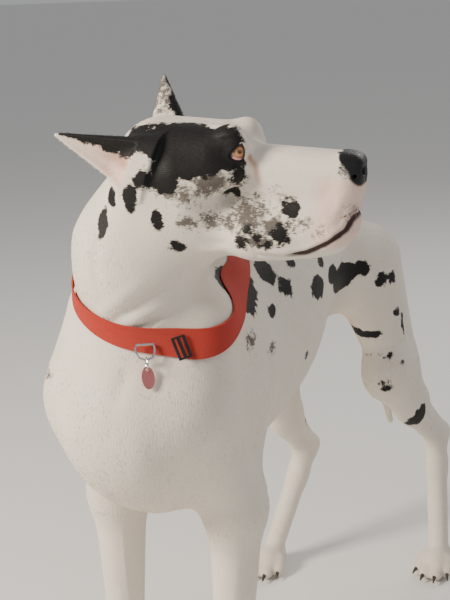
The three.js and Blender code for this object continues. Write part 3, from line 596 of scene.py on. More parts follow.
# white that shows through the black: behind the ear, down the middle of the skull, by the eye
WHITE_ON_HEAD = (((64, -60, 22), (9, 16, 8)), ((150, 0, 26), (90, 16, 30)), ((196, -40, -10), (7, 30, 20)))
BLACK_ON_BODY = (
    ((2, -123, 925), (9, 26, 22)), ((77, -112, 931), (8, 20, 13)), ((97, -97, 895), (9, 20, 9)),
    ((94, 70, 796), (46, 50, 40)), ((86, 173, 796), (34, 22, 20)), ((105, 206, 761), (40, 18, 16)),
    ((112, 141, 743), (34, 15, 9)), ((114, 311, 735), (40, 34, 18)), ((93, 463, 710), (60, 50, 24)),
    ((100, 410, 730), (40, 30, 16)), ((113, 523, 714), (50, 16, 13)), ((132, 555, 687), (40, 12, 13)),
    ((144, 586, 686), (40, 10, 9)), ((110, 250, 790), (30, 14, 12)), ((100, 360, 764), (30, 16, 11)),
    ((92, 557, 583), (36, 16, 10)), ((149, 595, 619), (30, 8, 6)), ((154, 612, 589), (30, 9, 18)),
    ((163, 676, 384), (40, 18, 26)), ((139, 563, 542), (30, 5, 5)), ((161, 581, 525), (30, 5, 5)),
    ((119, 548, 494), (30, 5, 4)), ((141, 554, 483), (30, 4, 4)),
    ((-40, 240, 830), (46, 60, 34)), ((10, 330, 815), (40, 26, 20)), ((-112, 150, 700), (40, 42, 46)),
    ((-120, 300, 660), (40, 34, 22)), ((-100, 420, 730), (40, 26, 30)), ((-96, 560, 760), (50, 44, 30)),
    ((20, 600, 800), (44, 30, 24)), ((-130, 620, 610), (40, 26, 34)), ((-150, 570, 520), (40, 12, 16)),
    ((-140, 230, 610), (40, 12, 10)), ((-118, 60, 640), (30, 14, 18)), ((150, 250, 640), (40, 10, 9)),
    ((136, 400, 660), (40, 12, 9)), ((22, 768, 560), (40, 40, 30)), ((38, 796, 420), (30, 30, 18)),
    ((-122, 690, 330), (40, 16, 22)), ((20, 30, 900), (30, 30, 34)), ((-30, 60, 840), (30, 26, 22)),
)
# small torn spots on the near cheek: middle and half size
CHEEK_SPOTS = (
    ((156, -60, 960), 8), ((231, -52, 942), 8), ((224, -66, 912), 13), ((211, -74, 899), 8),
    ((181, -74, 919), 7), ((176, -81, 901), 8), ((174, -74, 985), 12), ((200, -72, 906), 6),
)
GREY_ON_HEAD = (
    ((150, -60, -42), (26, 40, 18)), ((120, -70, -58), (20, 40, 16)), ((196, -60, -78), (28, 40, 30)),
    ((234, -60, -58), (14, 40, 9)), ((232, -60, -92), (26, 40, 13)), ((216, -60, -112), (26, 40, 9)),
    ((104, -70, -60), (14, 40, 10)), ((160, -70, -92), (30, 40, 14)), ((128, -70, -96), (14, 40, 10)),
    ((180, -60, -40), (16, 30, 10)), ((268, -44, -84), (10, 30, 6)), ((290, -40, -96), (8, 30, 6)),
    ((320, -20, -70), (6, 10, 5)), ((160, 60, -70), (40, 40, 24)), ((230, 50, -80), (30, 40, 18)),
    ((40, 76, 26), (26, 22, 46)),
)
GREY_ON_BODY = (
    ((-112, -96, 700), (20, 24, 12)), ((128, 31, 734), (20, 16, 12)), ((110, 100, 700), (26, 22, 10)),
    ((-150, 640, 160), (20, 20, 10)), ((128, 740, 340), (24, 14, 10)), ((120, 480, 640), (30, 16, 9)),
    ((60, 350, 790), (26, 24, 14)), ((-60, 480, 800), (30, 30, 14)),
)


def patches(p, listed):
    best = np.full(len(p), -60.0)
    for middle, half in listed:
        half = np.array(half, float)
        r = np.sqrt((((p - np.array(middle, float)) / half) ** 2).sum(1))
        size = float(np.median(half))
        best = -join(-best, -(1 - r) * size, 5)
    return best


ear_t = {name: ear_place(skin_head, name) for name in EARS}
dark = np.maximum(patches(skin_head, BLACK_ON_HEAD), patches(skin_at, BLACK_ON_BODY))
for white_spot in WHITE_ON_HEAD:
    dark = np.minimum(dark, -patches(skin_head, (white_spot,)))
# each ear's leaf is black from this share of its half width out to its upper or front edge
for name, rim_from in (("right", 0.30), ("left", 0.5)):
    t, x, y, w, dp, length = ear_t[name]
    on_leaf = (t > 0.0) & (t < 0.96) & (np.abs(x) < w * 1.3) & (np.abs(y) < dp + 8)
    dark = np.where(on_leaf, np.maximum(dark, (x / w - rim_from) * 20), dark)
for middle, size in CHEEK_SPOTS:
    away = np.linalg.norm(skin_at - np.array(middle, float), axis=1)
    dark = np.maximum(dark, np.where(away < 60, size - away, -60) * 0.8)
grey = np.maximum(patches(skin_head, GREY_ON_HEAD), patches(skin_at, GREY_ON_BODY))
# the nose leather, and the pink of muzzle and lips round it
leather = np.clip(1 - np.maximum(slab(skin_head, (318, 0, -19), (18, 29, 22), 14), -6) / 2.0, 0, 1)
leather = np.where(skin_head[:, 0] > 296, leather, 0)
pink = np.clip((skin_head[:, 0] - 268) / 22, 0, 1) * np.clip((-skin_head[:, 2] - 26) / 10, 0, 1)
pink *= np.clip((skin_head[:, 2] + 120) / 10, 0, 1)
edge = np.exp(-((lip_away / 4.2) ** 2)) * np.clip((mirrored[:, 0] - 232) / 30, 0.12, 1)
edge = np.where((mirrored[:, 0] > 180) & (mirrored[:, 2] < -60), edge * fade, 0)
# bare pink inside the ears, under the chest and between the thighs
inner = np.zeros(len(skin_at))
for name, (t, x, y, w, dp, length) in ear_t.items():
    inside = (np.abs(x) < w * 0.86) & (y > -dp * 0.55) & (t > 0.02) & (t < 0.9) & (y < dp * 1.4)
    facing = skin_out @ (np.array(EARS[name][3]) @ AXES) > 0.1
    inner = np.maximum(inner, (inside & facing) * np.clip(1.1 - t, 0.2, 1))
bare = np.clip((560 - skin_at[:, 2]) / 60, 0, 1) * np.clip((skin_at[:, 2] - 430) / 40, 0, 1)
bare *= np.clip((70 - np.abs(skin_at[:, 0])) / 20, 0, 1) * (skin_at[:, 1] < 420)
groin = np.clip((90 - np.abs(skin_at[:, 0])) / 30, 0, 1)
groin *= np.clip(1 - np.abs(skin_at[:, 1] - 540) / 130, 0, 1)
groin *= np.clip((660 - skin_at[:, 2]) / 60, 0, 1) * np.clip((skin_at[:, 2] - 380) / 60, 0, 1)
pink = np.maximum.reduce((pink * 0.8, inner * 0.95, bare * 0.35, groin * 0.75))
# the brown tear stain below each eye
tear, tear_share = path_distance(mirrored, ((194, 38, -12), (200, 34, -22), (206, 33, -44)))
tear = np.exp(-((tear / 4.5) ** 2)) * (1 - tear_share * 0.5)
# the redder channel in the ear's cup
t, x, y, w, dp, length = ear_t["right"]
channel = np.exp(-(((x / w + 0.05) / 0.22) ** 2)) * np.clip(t / 0.1, 0, 1) * np.clip(1 - t / 0.55, 0, 1)
tear = np.maximum(tear, channel * (inner > 0) * 0.9)
# the feet, darker towards the ground, and how far the hair's lie is the head's or points down
foot = np.clip((70 - skin_at[:, 2]) / 50, 0, 1)
grain_head = head_share * (skin_at[:, 2] > 780)
grain_down = np.clip((640 - skin_at[:, 2]) / 120, 0, 1)
grain_down = np.maximum(grain_down, np.clip((-60 - skin_at[:, 1]) / 40, 0, 1) * (1 - grain_head))

skin = packed_piece("dog_skin", skin_at, skin_quads)
skin_mesh = skin.data
coat_facts = {
    "dark": dark / 10, "grey": grey / 10, "pink": pink, "lip": edge, "leather": leather,
    "tear": tear, "foot": foot, "grain_head": grain_head, "grain_down": grain_down,
}
for name, values in coat_facts.items():
    note(skin_mesh, name, values)
note(skin_mesh, "root", placed(skin_at), "FLOAT_VECTOR")


def new_material(name):
    mat = bpy.data.materials.new(name)
    mat.use_nodes = True
    return mat, mat.node_tree, mat.node_tree.nodes["Principled BSDF"]


def fact(tree, key, kind="Fac"):
    """A value that the mesh holds for each of its vertices."""
    node = tree.nodes.new("ShaderNodeAttribute")
    node.attribute_name = key
    return node.outputs[kind]


def texture(tree, kind, at, **settings):
    node = tree.nodes.new("ShaderNodeTex" + kind)
    for key, value in settings.items():
        node.inputs[key].default_value = value
    tree.links.new(at, node.inputs["Vector"])
    return node


def mixed(tree, factor, a, b):
    """Colour a turning into colour b as the factor goes from 0 to 1."""
    node = tree.nodes.new("ShaderNodeMix")
    node.data_type = "RGBA"
    for socket, v in ((node.inputs["Factor"], factor), (node.inputs[6], a), (node.inputs[7], b)):
        if isinstance(v, tuple):
            socket.default_value = (*v, 1)
        elif isinstance(v, float):
            socket.default_value = v
        else:
            tree.links.new(v, socket)
    return node.outputs[2]


def bumped(tree, bsdf, height, strength, distance):
    bump = tree.nodes.new("ShaderNodeBump")
    bump.inputs["Strength"].default_value = strength
    bump.inputs["Distance"].default_value = distance
    tree.links.new(height, bump.inputs["Height"])
    tree.links.new(bump.outputs[0], bsdf.inputs["Normal"])


def hide_material(name, tufts):
    """The coat's material. Skin and tufts share it, so both carry the same markings."""
    mat, tree, bsdf = new_material(name)

    def own(key):
        return fact(tree, key)

    def mix(factor, a, b):
        return mixed(tree, factor, a, b)

    def maths(op, a, b=0.0, c=0.0, clamp=False):
        node = tree.nodes.new("ShaderNodeMath")
        node.operation = op
        node.use_clamp = clamp
        for i, v in enumerate((a, b, c)):
            if isinstance(v, (int, float)):
                node.inputs[i].default_value = v
            else:
                tree.links.new(v, node.inputs[i])
        return node.outputs[0]

    def noise(scale, detail=3.0, stretch=None, turned_by=(0, 0, 0)):
        at = fact(tree, "root", "Vector")
        if stretch:
            turn = tree.nodes.new("ShaderNodeMapping")
            turn.inputs["Rotation"].default_value = turned_by
            turn.inputs["Scale"].default_value = stretch
            tree.links.new(at, turn.inputs["Vector"])
            at = turn.outputs[0]
        return texture(tree, "Noise", at, Scale=scale, Detail=detail).outputs[0]

    hair_back = noise(520, 2, (1, 0.16, 1))
    hair_down = noise(520, 2, (1, 1, 0.16))
    hair_head = noise(620, 2, (0.18, 1, 1), (0, 0, math.radians(-10)))
    hair = maths("MULTIPLY_ADD", maths("SUBTRACT", hair_down, hair_back), own("grain_down"), hair_back)
    hair = maths("MULTIPLY_ADD", maths("SUBTRACT", hair_head, hair), own("grain_head"), hair)
    broad, torn, fine = noise(22, 3), noise(75, 3), noise(420, 2)
    # black patches with torn, hairy edges
    ragged = maths("MULTIPLY_ADD", maths("SUBTRACT", broad, 0.5), 2.4, own("dark"))
    ragged = maths("MULTIPLY_ADD", maths("SUBTRACT", torn, 0.5), 2.2, ragged)
    ragged = maths("MULTIPLY_ADD", maths("SUBTRACT", hair, 0.5), 0.9, ragged)
    black = maths("MULTIPLY_ADD", ragged, 3.2, 0.5, clamp=True)
    # merle grey: blotches broken up all over with white hairs
    speck = noise(190, 4)
    merle = maths("MULTIPLY_ADD", maths("SUBTRACT", torn, 0.5), 4.0, own("grey"))
    merle = maths("MULTIPLY_ADD", maths("SUBTRACT", speck, 0.5), 4.6, merle)
    merle = maths("MULTIPLY_ADD", maths("SUBTRACT", hair, 0.5), 3.4, merle)
    merle = maths("MULTIPLY", maths("MULTIPLY_ADD", merle, 0.75, 0.22, clamp=True), 0.92)
    white = mix(broad, (0.82, 0.755, 0.66), (0.75, 0.67, 0.57))
    # painted shade: between the hairs the coat turns darker tan, in the low troughs of the hair grain that
    # also drives the skin's bump
    shade_between_hairs = mix(0.35, white, (0.66, 0.57, 0.48))
    white = mix(maths("MULTIPLY_ADD", hair, 2.2, -0.6, clamp=True), shade_between_hairs, white)
    white = mix(maths("MULTIPLY", own("foot"), 0.35), white, (0.50, 0.42, 0.33))
    skin_pink = mix(fine, (0.78, 0.47, 0.39), (0.86, 0.60, 0.51))
    colour = mix(maths("MULTIPLY", own("pink"), 0.85), white, skin_pink)
    colour = mix(maths("MULTIPLY", own("tear"), 0.8), colour, (0.34, 0.11, 0.05))
    colour = mix(merle, colour, mix(speck, (0.030, 0.021, 0.018), (0.13, 0.105, 0.09)))
    colour = mix(black, colour, mix(hair, (0.004, 0.004, 0.004), (0.014, 0.012, 0.012)))
    lip_dark = maths("MULTIPLY_ADD", maths("SUBTRACT", torn, 0.5), 0.7, own("lip"))
    colour = mix(maths("MULTIPLY_ADD", lip_dark, 2.4, -0.7, clamp=True), colour, (0.060, 0.032, 0.028))
    colour = mix(own("leather"), colour, (0.012, 0.011, 0.012))
    tree.links.new(colour, bsdf.inputs["Base Color"])
    bald = maths("MAXIMUM", own("leather"), maths("MULTIPLY", own("lip"), 0.7))
    rough = maths("MULTIPLY_ADD", bald, -0.34, maths("MULTIPLY_ADD", black, -0.16, 0.74))
    tree.links.new(rough, bsdf.inputs["Roughness"])
    bsdf.inputs["Sheen Weight"].default_value = 0.03
    bsdf.inputs["Specular IOR Level"].default_value = 0.22
    if not tufts:
        pebble = texture(tree, "Voronoi", fact(tree, "root", "Vector"), Scale=520)
        height = maths("MULTIPLY", hair, maths("SUBTRACT", 1.0, own("leather")))
        grained = maths("MULTIPLY", pebble.outputs["Distance"], own("leather"))
        height = maths("MULTIPLY_ADD", grained, 0.9, height)
        height = maths("MULTIPLY_ADD", torn, 0.5, height)
        bumped(tree, bsdf, height, 0.55, 0.0011)
    return mat


skin_mesh.materials.append(hide_material("short_coat", False))
flesh_nodes = ["torso", "neck", "head", "tail", "right_ear", "left_ear"]
flesh_nodes += ["right_foreleg", "left_foreleg", "right_hind_leg", "left_hind_leg"]
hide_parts(*flesh_nodes)
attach(skin, "root")

# The eyes. Amber irises under a wet, clear front, a dark pupil, and a reddened white that
# shows at the outer corner. Each is a ball whose rings run round the line of sight.
for s, name in ((-1, "right_eye"), (1, "left_eye")):
    gaze = unit((0.50, s * 0.86, 0.06))
    across = unit(np.cross(gaze, (0, 0, 1)))
    over = np.cross(across, gaze)
    rows, around = 40, 56
    points, angle = [], []
    for i in range(rows + 1):
        a = math.pi * i / rows
        swell = 0.5 * math.exp(-((a / 0.42) ** 2))
        r = EYE_RADIUS - 0.15 + swell
        for j in range(around if 0 < i < rows else 1):
            b = 2 * math.pi * j / around
            aside = across * math.cos(b) + over * math.sin(b)
            points.append(gaze * r * math.cos(a) + aside * r * math.sin(a))
            angle.append(a)
    faces = []
    for j in range(around):
        k = (j + 1) % around
        faces.append((0, 1 + j, 1 + k))
        last = len(points) - 1
        faces.append((last, last - around + k, last - around + j))
        for i in range(rows - 2):
            a0 = 1 + i * around
            faces.append((a0 + j, a0 + around + j, a0 + around + k, a0 + k))
    centre = np.array((EYE_AT[0], s * EYE_AT[1], EYE_AT[2]))
    eye = listed_piece("dog_" + name, from_head(np.array(points) + centre), faces)
    mesh = eye.data
    note(mesh, "sight", angle)
    mat, tree, bsdf = new_material("eyeball_" + name)
    coords = tree.nodes.new("ShaderNodeTexCoord")
    grain = texture(tree, "Noise", coords.outputs["Object"], Scale=900)
    wobble = tree.nodes.new("ShaderNodeMath")
    wobble.operation = "MULTIPLY_ADD"
    wobble.inputs[1].default_value = 0.09
    tree.links.new(grain.outputs[0], wobble.inputs[0])
    tree.links.new(fact(tree, "sight"), wobble.inputs[2])
    ramp = tree.nodes.new("ShaderNodeValToRGB")
    stops = (
        (0.00, (0.004, 0.003, 0.003)), (0.205, (0.004, 0.003, 0.003)), (0.235, (0.16, 0.045, 0.008)),
        (0.36, (0.52, 0.20, 0.035)), (0.50, (0.62, 0.27, 0.06)), (0.58, (0.10, 0.03, 0.012)),
        (0.66, (0.42, 0.13, 0.09)), (0.80, (0.62, 0.30, 0.24)), (1.00, (0.66, 0.36, 0.30)),
    )
    while len(ramp.color_ramp.elements) < len(stops):
        ramp.color_ramp.elements.new(0.5)
    for stop, (at, colour) in zip(ramp.color_ramp.elements, stops):
        stop.position = at
        stop.color = (*colour, 1)
    tree.links.new(wobble.outputs[0], ramp.inputs["Fac"])
    tree.links.new(ramp.outputs["Color"], bsdf.inputs["Base Color"])
    bsdf.inputs["Roughness"].default_value = 0.22
    bsdf.inputs["Coat Weight"].default_value = 1.0
    bsdf.inputs["Coat Roughness"].default_value = 0.03
    mesh.materials.append(mat)
    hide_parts(name)
    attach(eye, "root")


def sweep(name, path, radii, around, closed=False, squash=1.0):
    """A smooth rod along a path in millimetres, closed at both ends or into a ring."""
    path = np.asarray(path, float)
    n = len(path)
    if closed:
        run = np.roll(path, -1, 0) - np.roll(path, 1, 0)
    else:
        run = np.gradient(path, axis=0)
    run /= np.linalg.norm(run, axis=1)[:, None]
    start = unit(np.cross(run[0], (0.31, 0.52, 0.79)))
    frames = []
    for i in range(n):
        start = unit(start - run[i] * np.dot(start, run[i]))
        frames.append((start, np.cross(run[i], start)))
    points, faces = [], []
    for i in range(n):
        u, v = frames[i]
        for j in range(around):
            a = 2 * math.pi * j / around
            points.append(path[i] + radii[i] * (u * math.cos(a) + v * math.sin(a) * squash))
    turn = 0
    if closed:
        twist = math.atan2(np.dot(frames[-1][0], frames[0][1]), np.dot(frames[-1][0], frames[0][0]))
        turn = round(twist / (2 * math.pi) * around)
    for i in range(n if closed else n - 1):
        for j in range(around):
            k = (j + 1) % around
            nj, nk = (j, k) if i < n - 1 else ((j + turn) % around, (k + turn) % around)
            m = ((i + 1) % n) * around
            faces.append((i * around + j, i * around + k, m + nk, m + nj))
    if not closed:
        faces.append(tuple(range(around))[::-1])
        faces.append(tuple((n - 1) * around + j for j in range(around)))
    return listed_piece(name, points, faces)


def plain(name, colour, roughness, metallic=0.0, coat=0.0):
    """A material of one colour with a faint grain."""
    mat, tree, bsdf = new_material(name)
    coords = tree.nodes.new("ShaderNodeTexCoord")
    grain = texture(tree, "Noise", coords.outputs["Object"], Scale=350, Detail=4).outputs[0]
    dull = tuple(c * 0.8 for c in colour)
    bright = tuple(min(1, c * 1.15) for c in colour)
    tree.links.new(mixed(tree, grain, dull, bright), bsdf.inputs["Base Color"])
    bumped(tree, bsdf, grain, 0.15, 0.0004)
    bsdf.inputs["Roughness"].default_value = roughness
    bsdf.inputs["Metallic"].default_value = metallic
    bsdf.inputs["Coat Weight"].default_value = coat
    bsdf.inputs["Coat Roughness"].default_value = 0.08
    return mat


# Rims of the lids and the haws. Each eye has a dark, bare rim round its opening, and a wet
# pink haw that shows along the lower lid, which hangs away from the eye in this breed.
rim_dark = plain("lid_rim", (0.020, 0.014, 0.013), 0.35, coat=0.3)
haw_pink = plain("haw", (0.66, 0.30, 0.26), 0.22, coat=0.8)
for s, side in ((-1, "right"), (1, "left")):
    out = unit((0.35, s * 0.93, 0.05))
    fore = np.cross(out, (0, 0, 1))
    fore = unit(fore if fore[0] > 0 else -fore)
    up = np.cross(out, fore)
    up = up if up[2] > 0 else -up
    centre = np.array((EYE_AT[0], s * EYE_AT[1], EYE_AT[2]))
    rim = []
    for i in range(3):
        a, b = np.array(LID_CORNERS[i]), np.array(LID_CORNERS[(i + 1) % 3])
        n = unit((b[1] - a[1], -(b[0] - a[0])))
        for t in np.linspace(0.1, 0.9, 9):
            rim.append(a + (b - a) * t + n * (LID_BULGE[i] * 4 * t * (1 - t) + 0.1))
    rim = np.array(rim)
    for _ in range(2):
        rim = (np.roll(rim, 1, 0) + 2 * rim + np.roll(rim, -1, 0)) / 4
    depth = np.sqrt(np.maximum((EYE_RADIUS + 1.1) ** 2 - (rim**2).sum(1), 6))
    ring = centre + rim[:, :1] * fore + rim[:, 1:] * up + depth[:, None] * out
    made = sweep("lid_rim_" + side, from_head(ring), np.full(len(ring), 1.05), 8, closed=True)
    made.data.materials.append(rim_dark)
    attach(made, "root")
    a, b = np.array(LID_CORNERS[0]), np.array(LID_CORNERS[1])
    n = unit((b[1] - a[1], -(b[0] - a[0])))
    t = np.linspace(0.03, 0.99, 22)
    haw = a + (b - a) * t[:, None] + n * (LID_BULGE[0] * 4 * t * (1 - t) - 1.3)[:, None]
    depth = np.sqrt(np.maximum((EYE_RADIUS + 0.1) ** 2 - (haw**2).sum(1), 6))
    line = centre + haw[:, :1] * fore + haw[:, 1:] * up + depth[:, None] * out
    made = sweep("haw_" + side, from_head(line), 0.5 + 1.35 * np.sin(math.pi * t) ** 0.5, 10)
    made.data.materials.append(haw_pink)
    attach(made, "root")

# The claws: sixteen short, curved claws of dark horn, round at the root and worn blunt at
# the tip.
claw_horn = plain("claw_horn", (0.045, 0.034, 0.030), 0.38, coat=0.2)
for kind, legs in (("fore", FORE), ("hind", HIND)):
    for side, leg in legs.items():
        s, foot = leg[0], leg[-1]
        k = 1.0 if kind == "fore" else 0.95
        x, y = s * foot[0], foot[1] - (0 if kind == "fore" else 18)
        for i, (dx, dy, r) in enumerate(TOES):
            out = unit((dx * 0.35, -30, 0))
            root = np.array((x + dx * k, y + dy * k - 4, 18)) + out * (r - 6.5) * k + (0, 0, -0.6)
            t = np.linspace(0, 1, 9)
            path = root + out * (16.3 * t)[:, None] + np.array((0, 0, -7.2)) * (t**2)[:, None]
            radii = 4.4 * (1 - t) ** 0.75 + 1.1 * t**0.5
            made = sweep(f"claw_{side}_{kind}_{i + 1}", path, radii, 12, squash=0.8)
            made.data.materials.append(claw_horn)
            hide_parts(f"{side}_{kind}_claw_{i + 1}")
            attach(made, "root")

# The coat's tufts: short, flat hairs in small locks of solid mesh that lie along the body,
# a little longer on breast, belly, thigh backs and tail, and smallest on face and feet.
rng = np.random.default_rng(7)
tuft_material = hide_material("short_tufts", True)
facts = np.stack(list(coat_facts.values()), 1)
column = {name: i for i, name in enumerate(coat_facts)}
LEG_TOP, THROAT_FLOOR, MID_TRUNK = 420, 760, 330
BARE_ROUND_EYE, BARE_BY_COLLAR = 17, 15
quad_points = skin_at[skin_quads]
quad_area = 0.5 * np.linalg.norm(
    np.cross(quad_points[:, 2] - quad_points[:, 0], quad_points[:, 3] - quad_points[:, 1]), axis=1
)
middle = quad_points.mean(1)
mid_head = to_head(middle)
collar_gap = np.abs((middle - COLLAR_AT) @ COLLAR_NORMAL) < BARE_BY_COLLAR
on_ear = np.zeros(len(middle), bool)
for name in EARS:
    t, x, y, w, dp, length = ear_place(mid_head, name)
    on_ear |= (t > 0.0) & (np.abs(x) < w * 1.15) & (np.abs(y) < dp + 5)
jaw_slant = 0.6 * np.clip(-mid_head[:, 2] - 60, 0, 99)
face = (mid_head[:, 0] > 60) & (middle[:, 2] > 810) & (mid_head[:, 0] - jaw_slant > 20)
quad_facts = facts[skin_quads].mean(1)
bald = (quad_facts[:, column["leather"]] > 0.3) | (quad_facts[:, column["lip"]] > 0.55)
near_eye = np.linalg.norm(np.abs(mid_head) - np.abs(EYE_AT), axis=1) < BARE_ROUND_EYE
upper = middle[:, 2] >= LEG_TOP
throat = (middle[:, 2] > THROAT_FLOOR) & (middle[:, 1] < 60)
ahead = middle[:, 1] < MID_TRUNK
REGIONS = (
    # name, where, spacing in millimetres between tufts, length, width, lift
    ("face", face & ~on_ear, 3.4, 4.2, 0.5, 0.07),
    ("ears", on_ear & ~face | (on_ear & (mid_head[:, 0] < 75)), 3.0, 5.5, 0.5, 0.16),
    ("neck", throat & ~face & ~on_ear, 4.0, 6.5, 0.55, 0.06),
    ("trunk", upper & ~throat & ahead, 4.8, 7.5, 0.6, 0.06),
    ("rear", upper & ~ahead, 4.8, 7.5, 0.6, 0.06),
    ("legs", ~upper, 4.4, 6.0, 0.55, 0.06),
)
# a tuft is a three-sided lock: its root's corners 0 to 2, its waist's 3 to 5, and its tip
TUFT_FACES = np.array((
    (1, 2, 0), (4, 3, 0), (1, 4, 0), (5, 4, 1), (2, 5, 1),
    (3, 5, 2), (0, 3, 2), (4, 6, 3), (5, 6, 4), (3, 6, 5),
))
trunk_way = np.array((0, 1, -0.3))
for region, where, spacing, length, width, lift in REGIONS:
    chosen = np.where(where & ~collar_gap & ~bald & ~near_eye & (middle[:, 2] > 6))[0]
    weight = quad_area[chosen]
    count = int(weight.sum() / spacing**2)
    pick = chosen[rng.choice(len(chosen), count, p=weight / weight.sum())]
    u, v = rng.random((2, count))
    share = np.stack(((1 - u) * (1 - v), u * (1 - v), u * v, (1 - u) * v), 1)[:, :, None]
    root = (skin_at[skin_quads[pick]] * share).sum(1)
    out = (skin_out[skin_quads[pick]] * share).sum(1)
    out /= np.linalg.norm(out, axis=1)[:, None]
    own_facts = (facts[skin_quads[pick]] * share).sum(1)
    q = to_head(root)
    # which way the hair lies: back on the trunk, down on legs and neck, off the nose on the head
    on_head = own_facts[:, column["grain_head"]][:, None]
    down = own_facts[:, column["grain_down"]][:, None]
    lie = trunk_way * (1 - down) + np.array((0, 0.15, -1)) * down
    on_neck = np.clip((root[:, 2:3] - THROAT_FLOOR) / 60, 0, 1) * (1 - on_head)
    lie = lie * (1 - on_neck) + np.array((-0.25, 0.15, -1)) * on_neck
    lie = lie * (1 - on_head) + (-ALONG + np.array((0, 0, -0.25))) * on_head
    on_tail = (root[:, 1] > 690) & (np.abs(root[:, 0]) < 75) & (root[:, 2] > 300)
    lie[on_tail] = (0.1, 0.25, -1)
    if region == "ears":
        for name, (base, tip, wide, *_) in EARS.items():
            t, x, y, w, dp, _ = ear_place(q, name)
            mine = (t > -0.2) & (np.abs(x) < w * 1.2) & (np.abs(y) < dp + 6)
            way = unit((np.array(tip, float) - base) @ AXES)
            rim = unit(np.array(wide) @ AXES)
            fan = np.sign(x[mine]) * np.clip(np.abs(x[mine]) / w[mine] - 0.5, 0, 1) * 1.6
            lie[mine] = way + rim * fan[:, None]
    lie += rng.normal(0, 0.16, (count, 3))
    lie -= out * (lie * out).sum(1)[:, None]
    lie /= np.linalg.norm(lie, axis=1)[:, None] + 1e-9
    across = np.cross(out, lie)
    size = rng.uniform(0.7, 1.25, count)
    long = np.ones(count)
    long += 0.6 * np.exp(-(((root[:, 2] - 500) / 50) ** 2)) * (np.abs(root[:, 0]) < 90)
    long += 0.5 * on_tail + 0.35 * ((root[:, 1] > 640) & (root[:, 2] > LEG_TOP))
    long *= 1 - 0.45 * own_facts[:, column["foot"]]
    if region == "face":
        long *= 1 - 0.45 * np.clip((q[:, 0] - 150) / 120, 0, 1)
    reach = length * size * long
    rise = lift * rng.uniform(0.4, 1.5, count)
    half = width * size * 0.5
    root = root - out * 0.5
    mid = root + lie * (reach * 0.5)[:, None] + out * (reach * rise * 0.8)[:, None]
    tip = root + lie * reach[:, None] + out * (reach * rise)[:, None] + out * 0.2
    flat = out * (half * 0.5)[:, None]
    corner = across * half[:, None]
    waist = corner * 0.8
    points = (root - corner, root + corner, root + flat, mid - waist, mid + waist, mid + flat, tip)
    points = np.stack(points, 1)
    # its place on an unwrap of the hide: each length of the body is a strip of the map,
    # round the body one way and along it the other
    if region in ("face", "ears"):
        turn_a, run_a = np.arctan2(q[:, 1], q[:, 2] + 40), (q[:, 0] + 80) / 420
    elif region == "neck":
        turn_a, run_a = np.arctan2(root[:, 0] - 20, root[:, 1] + 50), (root[:, 2] - 700) / 320
    elif region in ("trunk", "rear"):
        turn_a, run_a = np.arctan2(root[:, 0], root[:, 2] - 650), (root[:, 1] + 220) / 1000
    else:
        leg = np.where(root[:, 1] < MID_TRUNK, 0, 1) + np.where(root[:, 0] < 0, 0, 2)
        cx = np.array((-97, -120, 92, 160))[leg]
        cy = np.array((5, 660, 6, 790))[leg]
        turn_a, run_a = np.arctan2(root[:, 0] - cx, root[:, 1] - cy), root[:, 2] / (LEG_TOP + 10)
        turn_a = (turn_a + math.pi) / 4 + (leg - 2) * math.pi / 2
    spot = np.stack(((turn_a / (2 * math.pi) + 0.5) * 0.98 + 0.01, np.clip(run_a, 0, 1) * 0.98 + 0.01), 1)
    corner_uv = np.array(((-1, -1), (1, -1), (0, -0.6), (-0.8, 0), (0.8, 0), (0, 0.2), (0, 1))) * 0.0015
    uv = (spot[:, None, :] + corner_uv[None]).clip(0.001, 0.999)
    faces = (TUFT_FACES[None] + (np.arange(count) * 7)[:, None, None]).reshape(-1, 3)
    made = packed_piece("tufts_" + region, points.reshape(-1, 3), faces)
    mesh = made.data
    layer = mesh.uv_layers.new(name="OFBake")
    layer.uv.foreach_set("vector", uv.reshape(-1, 2)[faces.ravel()].astype(np.float32).ravel())
    for i, name in enumerate(coat_facts):
        note(mesh, name, np.repeat(own_facts[:, i], 7))
    note(mesh, "root", np.repeat(placed(root), 7, 0), "FLOAT_VECTOR")
    mesh.materials.append(tuft_material)
    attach(made, "root")

# The collar: flat red nylon webbing, woven with fine cross ribs. It is one band that lies
# close on the coat all round the neck, and carries the steel D-ring in front.
LATERAL = unit(np.array((1, 0, 0)) - COLLAR_NORMAL * COLLAR_NORMAL[0])
REARWARD = np.cross(COLLAR_NORMAL, LATERAL)
WEBBING_WIDTH, WEBBING_THICKNESS, COLLAR_EASE = 26.0, 2.4, 1.2


def coat_reach(start, way):
    """How far the flesh goes from points in it, along a way for each."""
    r = np.zeros(len(way))
    for _ in range(60):
        r += np.clip(-flesh(start + way * r[:, None]) * 0.8, 0, 30)
    return r


around = 220
angles = 2 * np.pi * np.arange(around) / around
ways = np.cos(angles)[:, None] * LATERAL + np.sin(angles)[:, None] * REARWARD
heights = WEBBING_WIDTH * np.linspace(-0.5, 0.5, 5)
section = []
for h in heights:
    mid = COLLAR_AT + COLLAR_NORMAL * h
    section.append((mid, coat_reach(np.repeat(mid[None], around, 0), ways)))
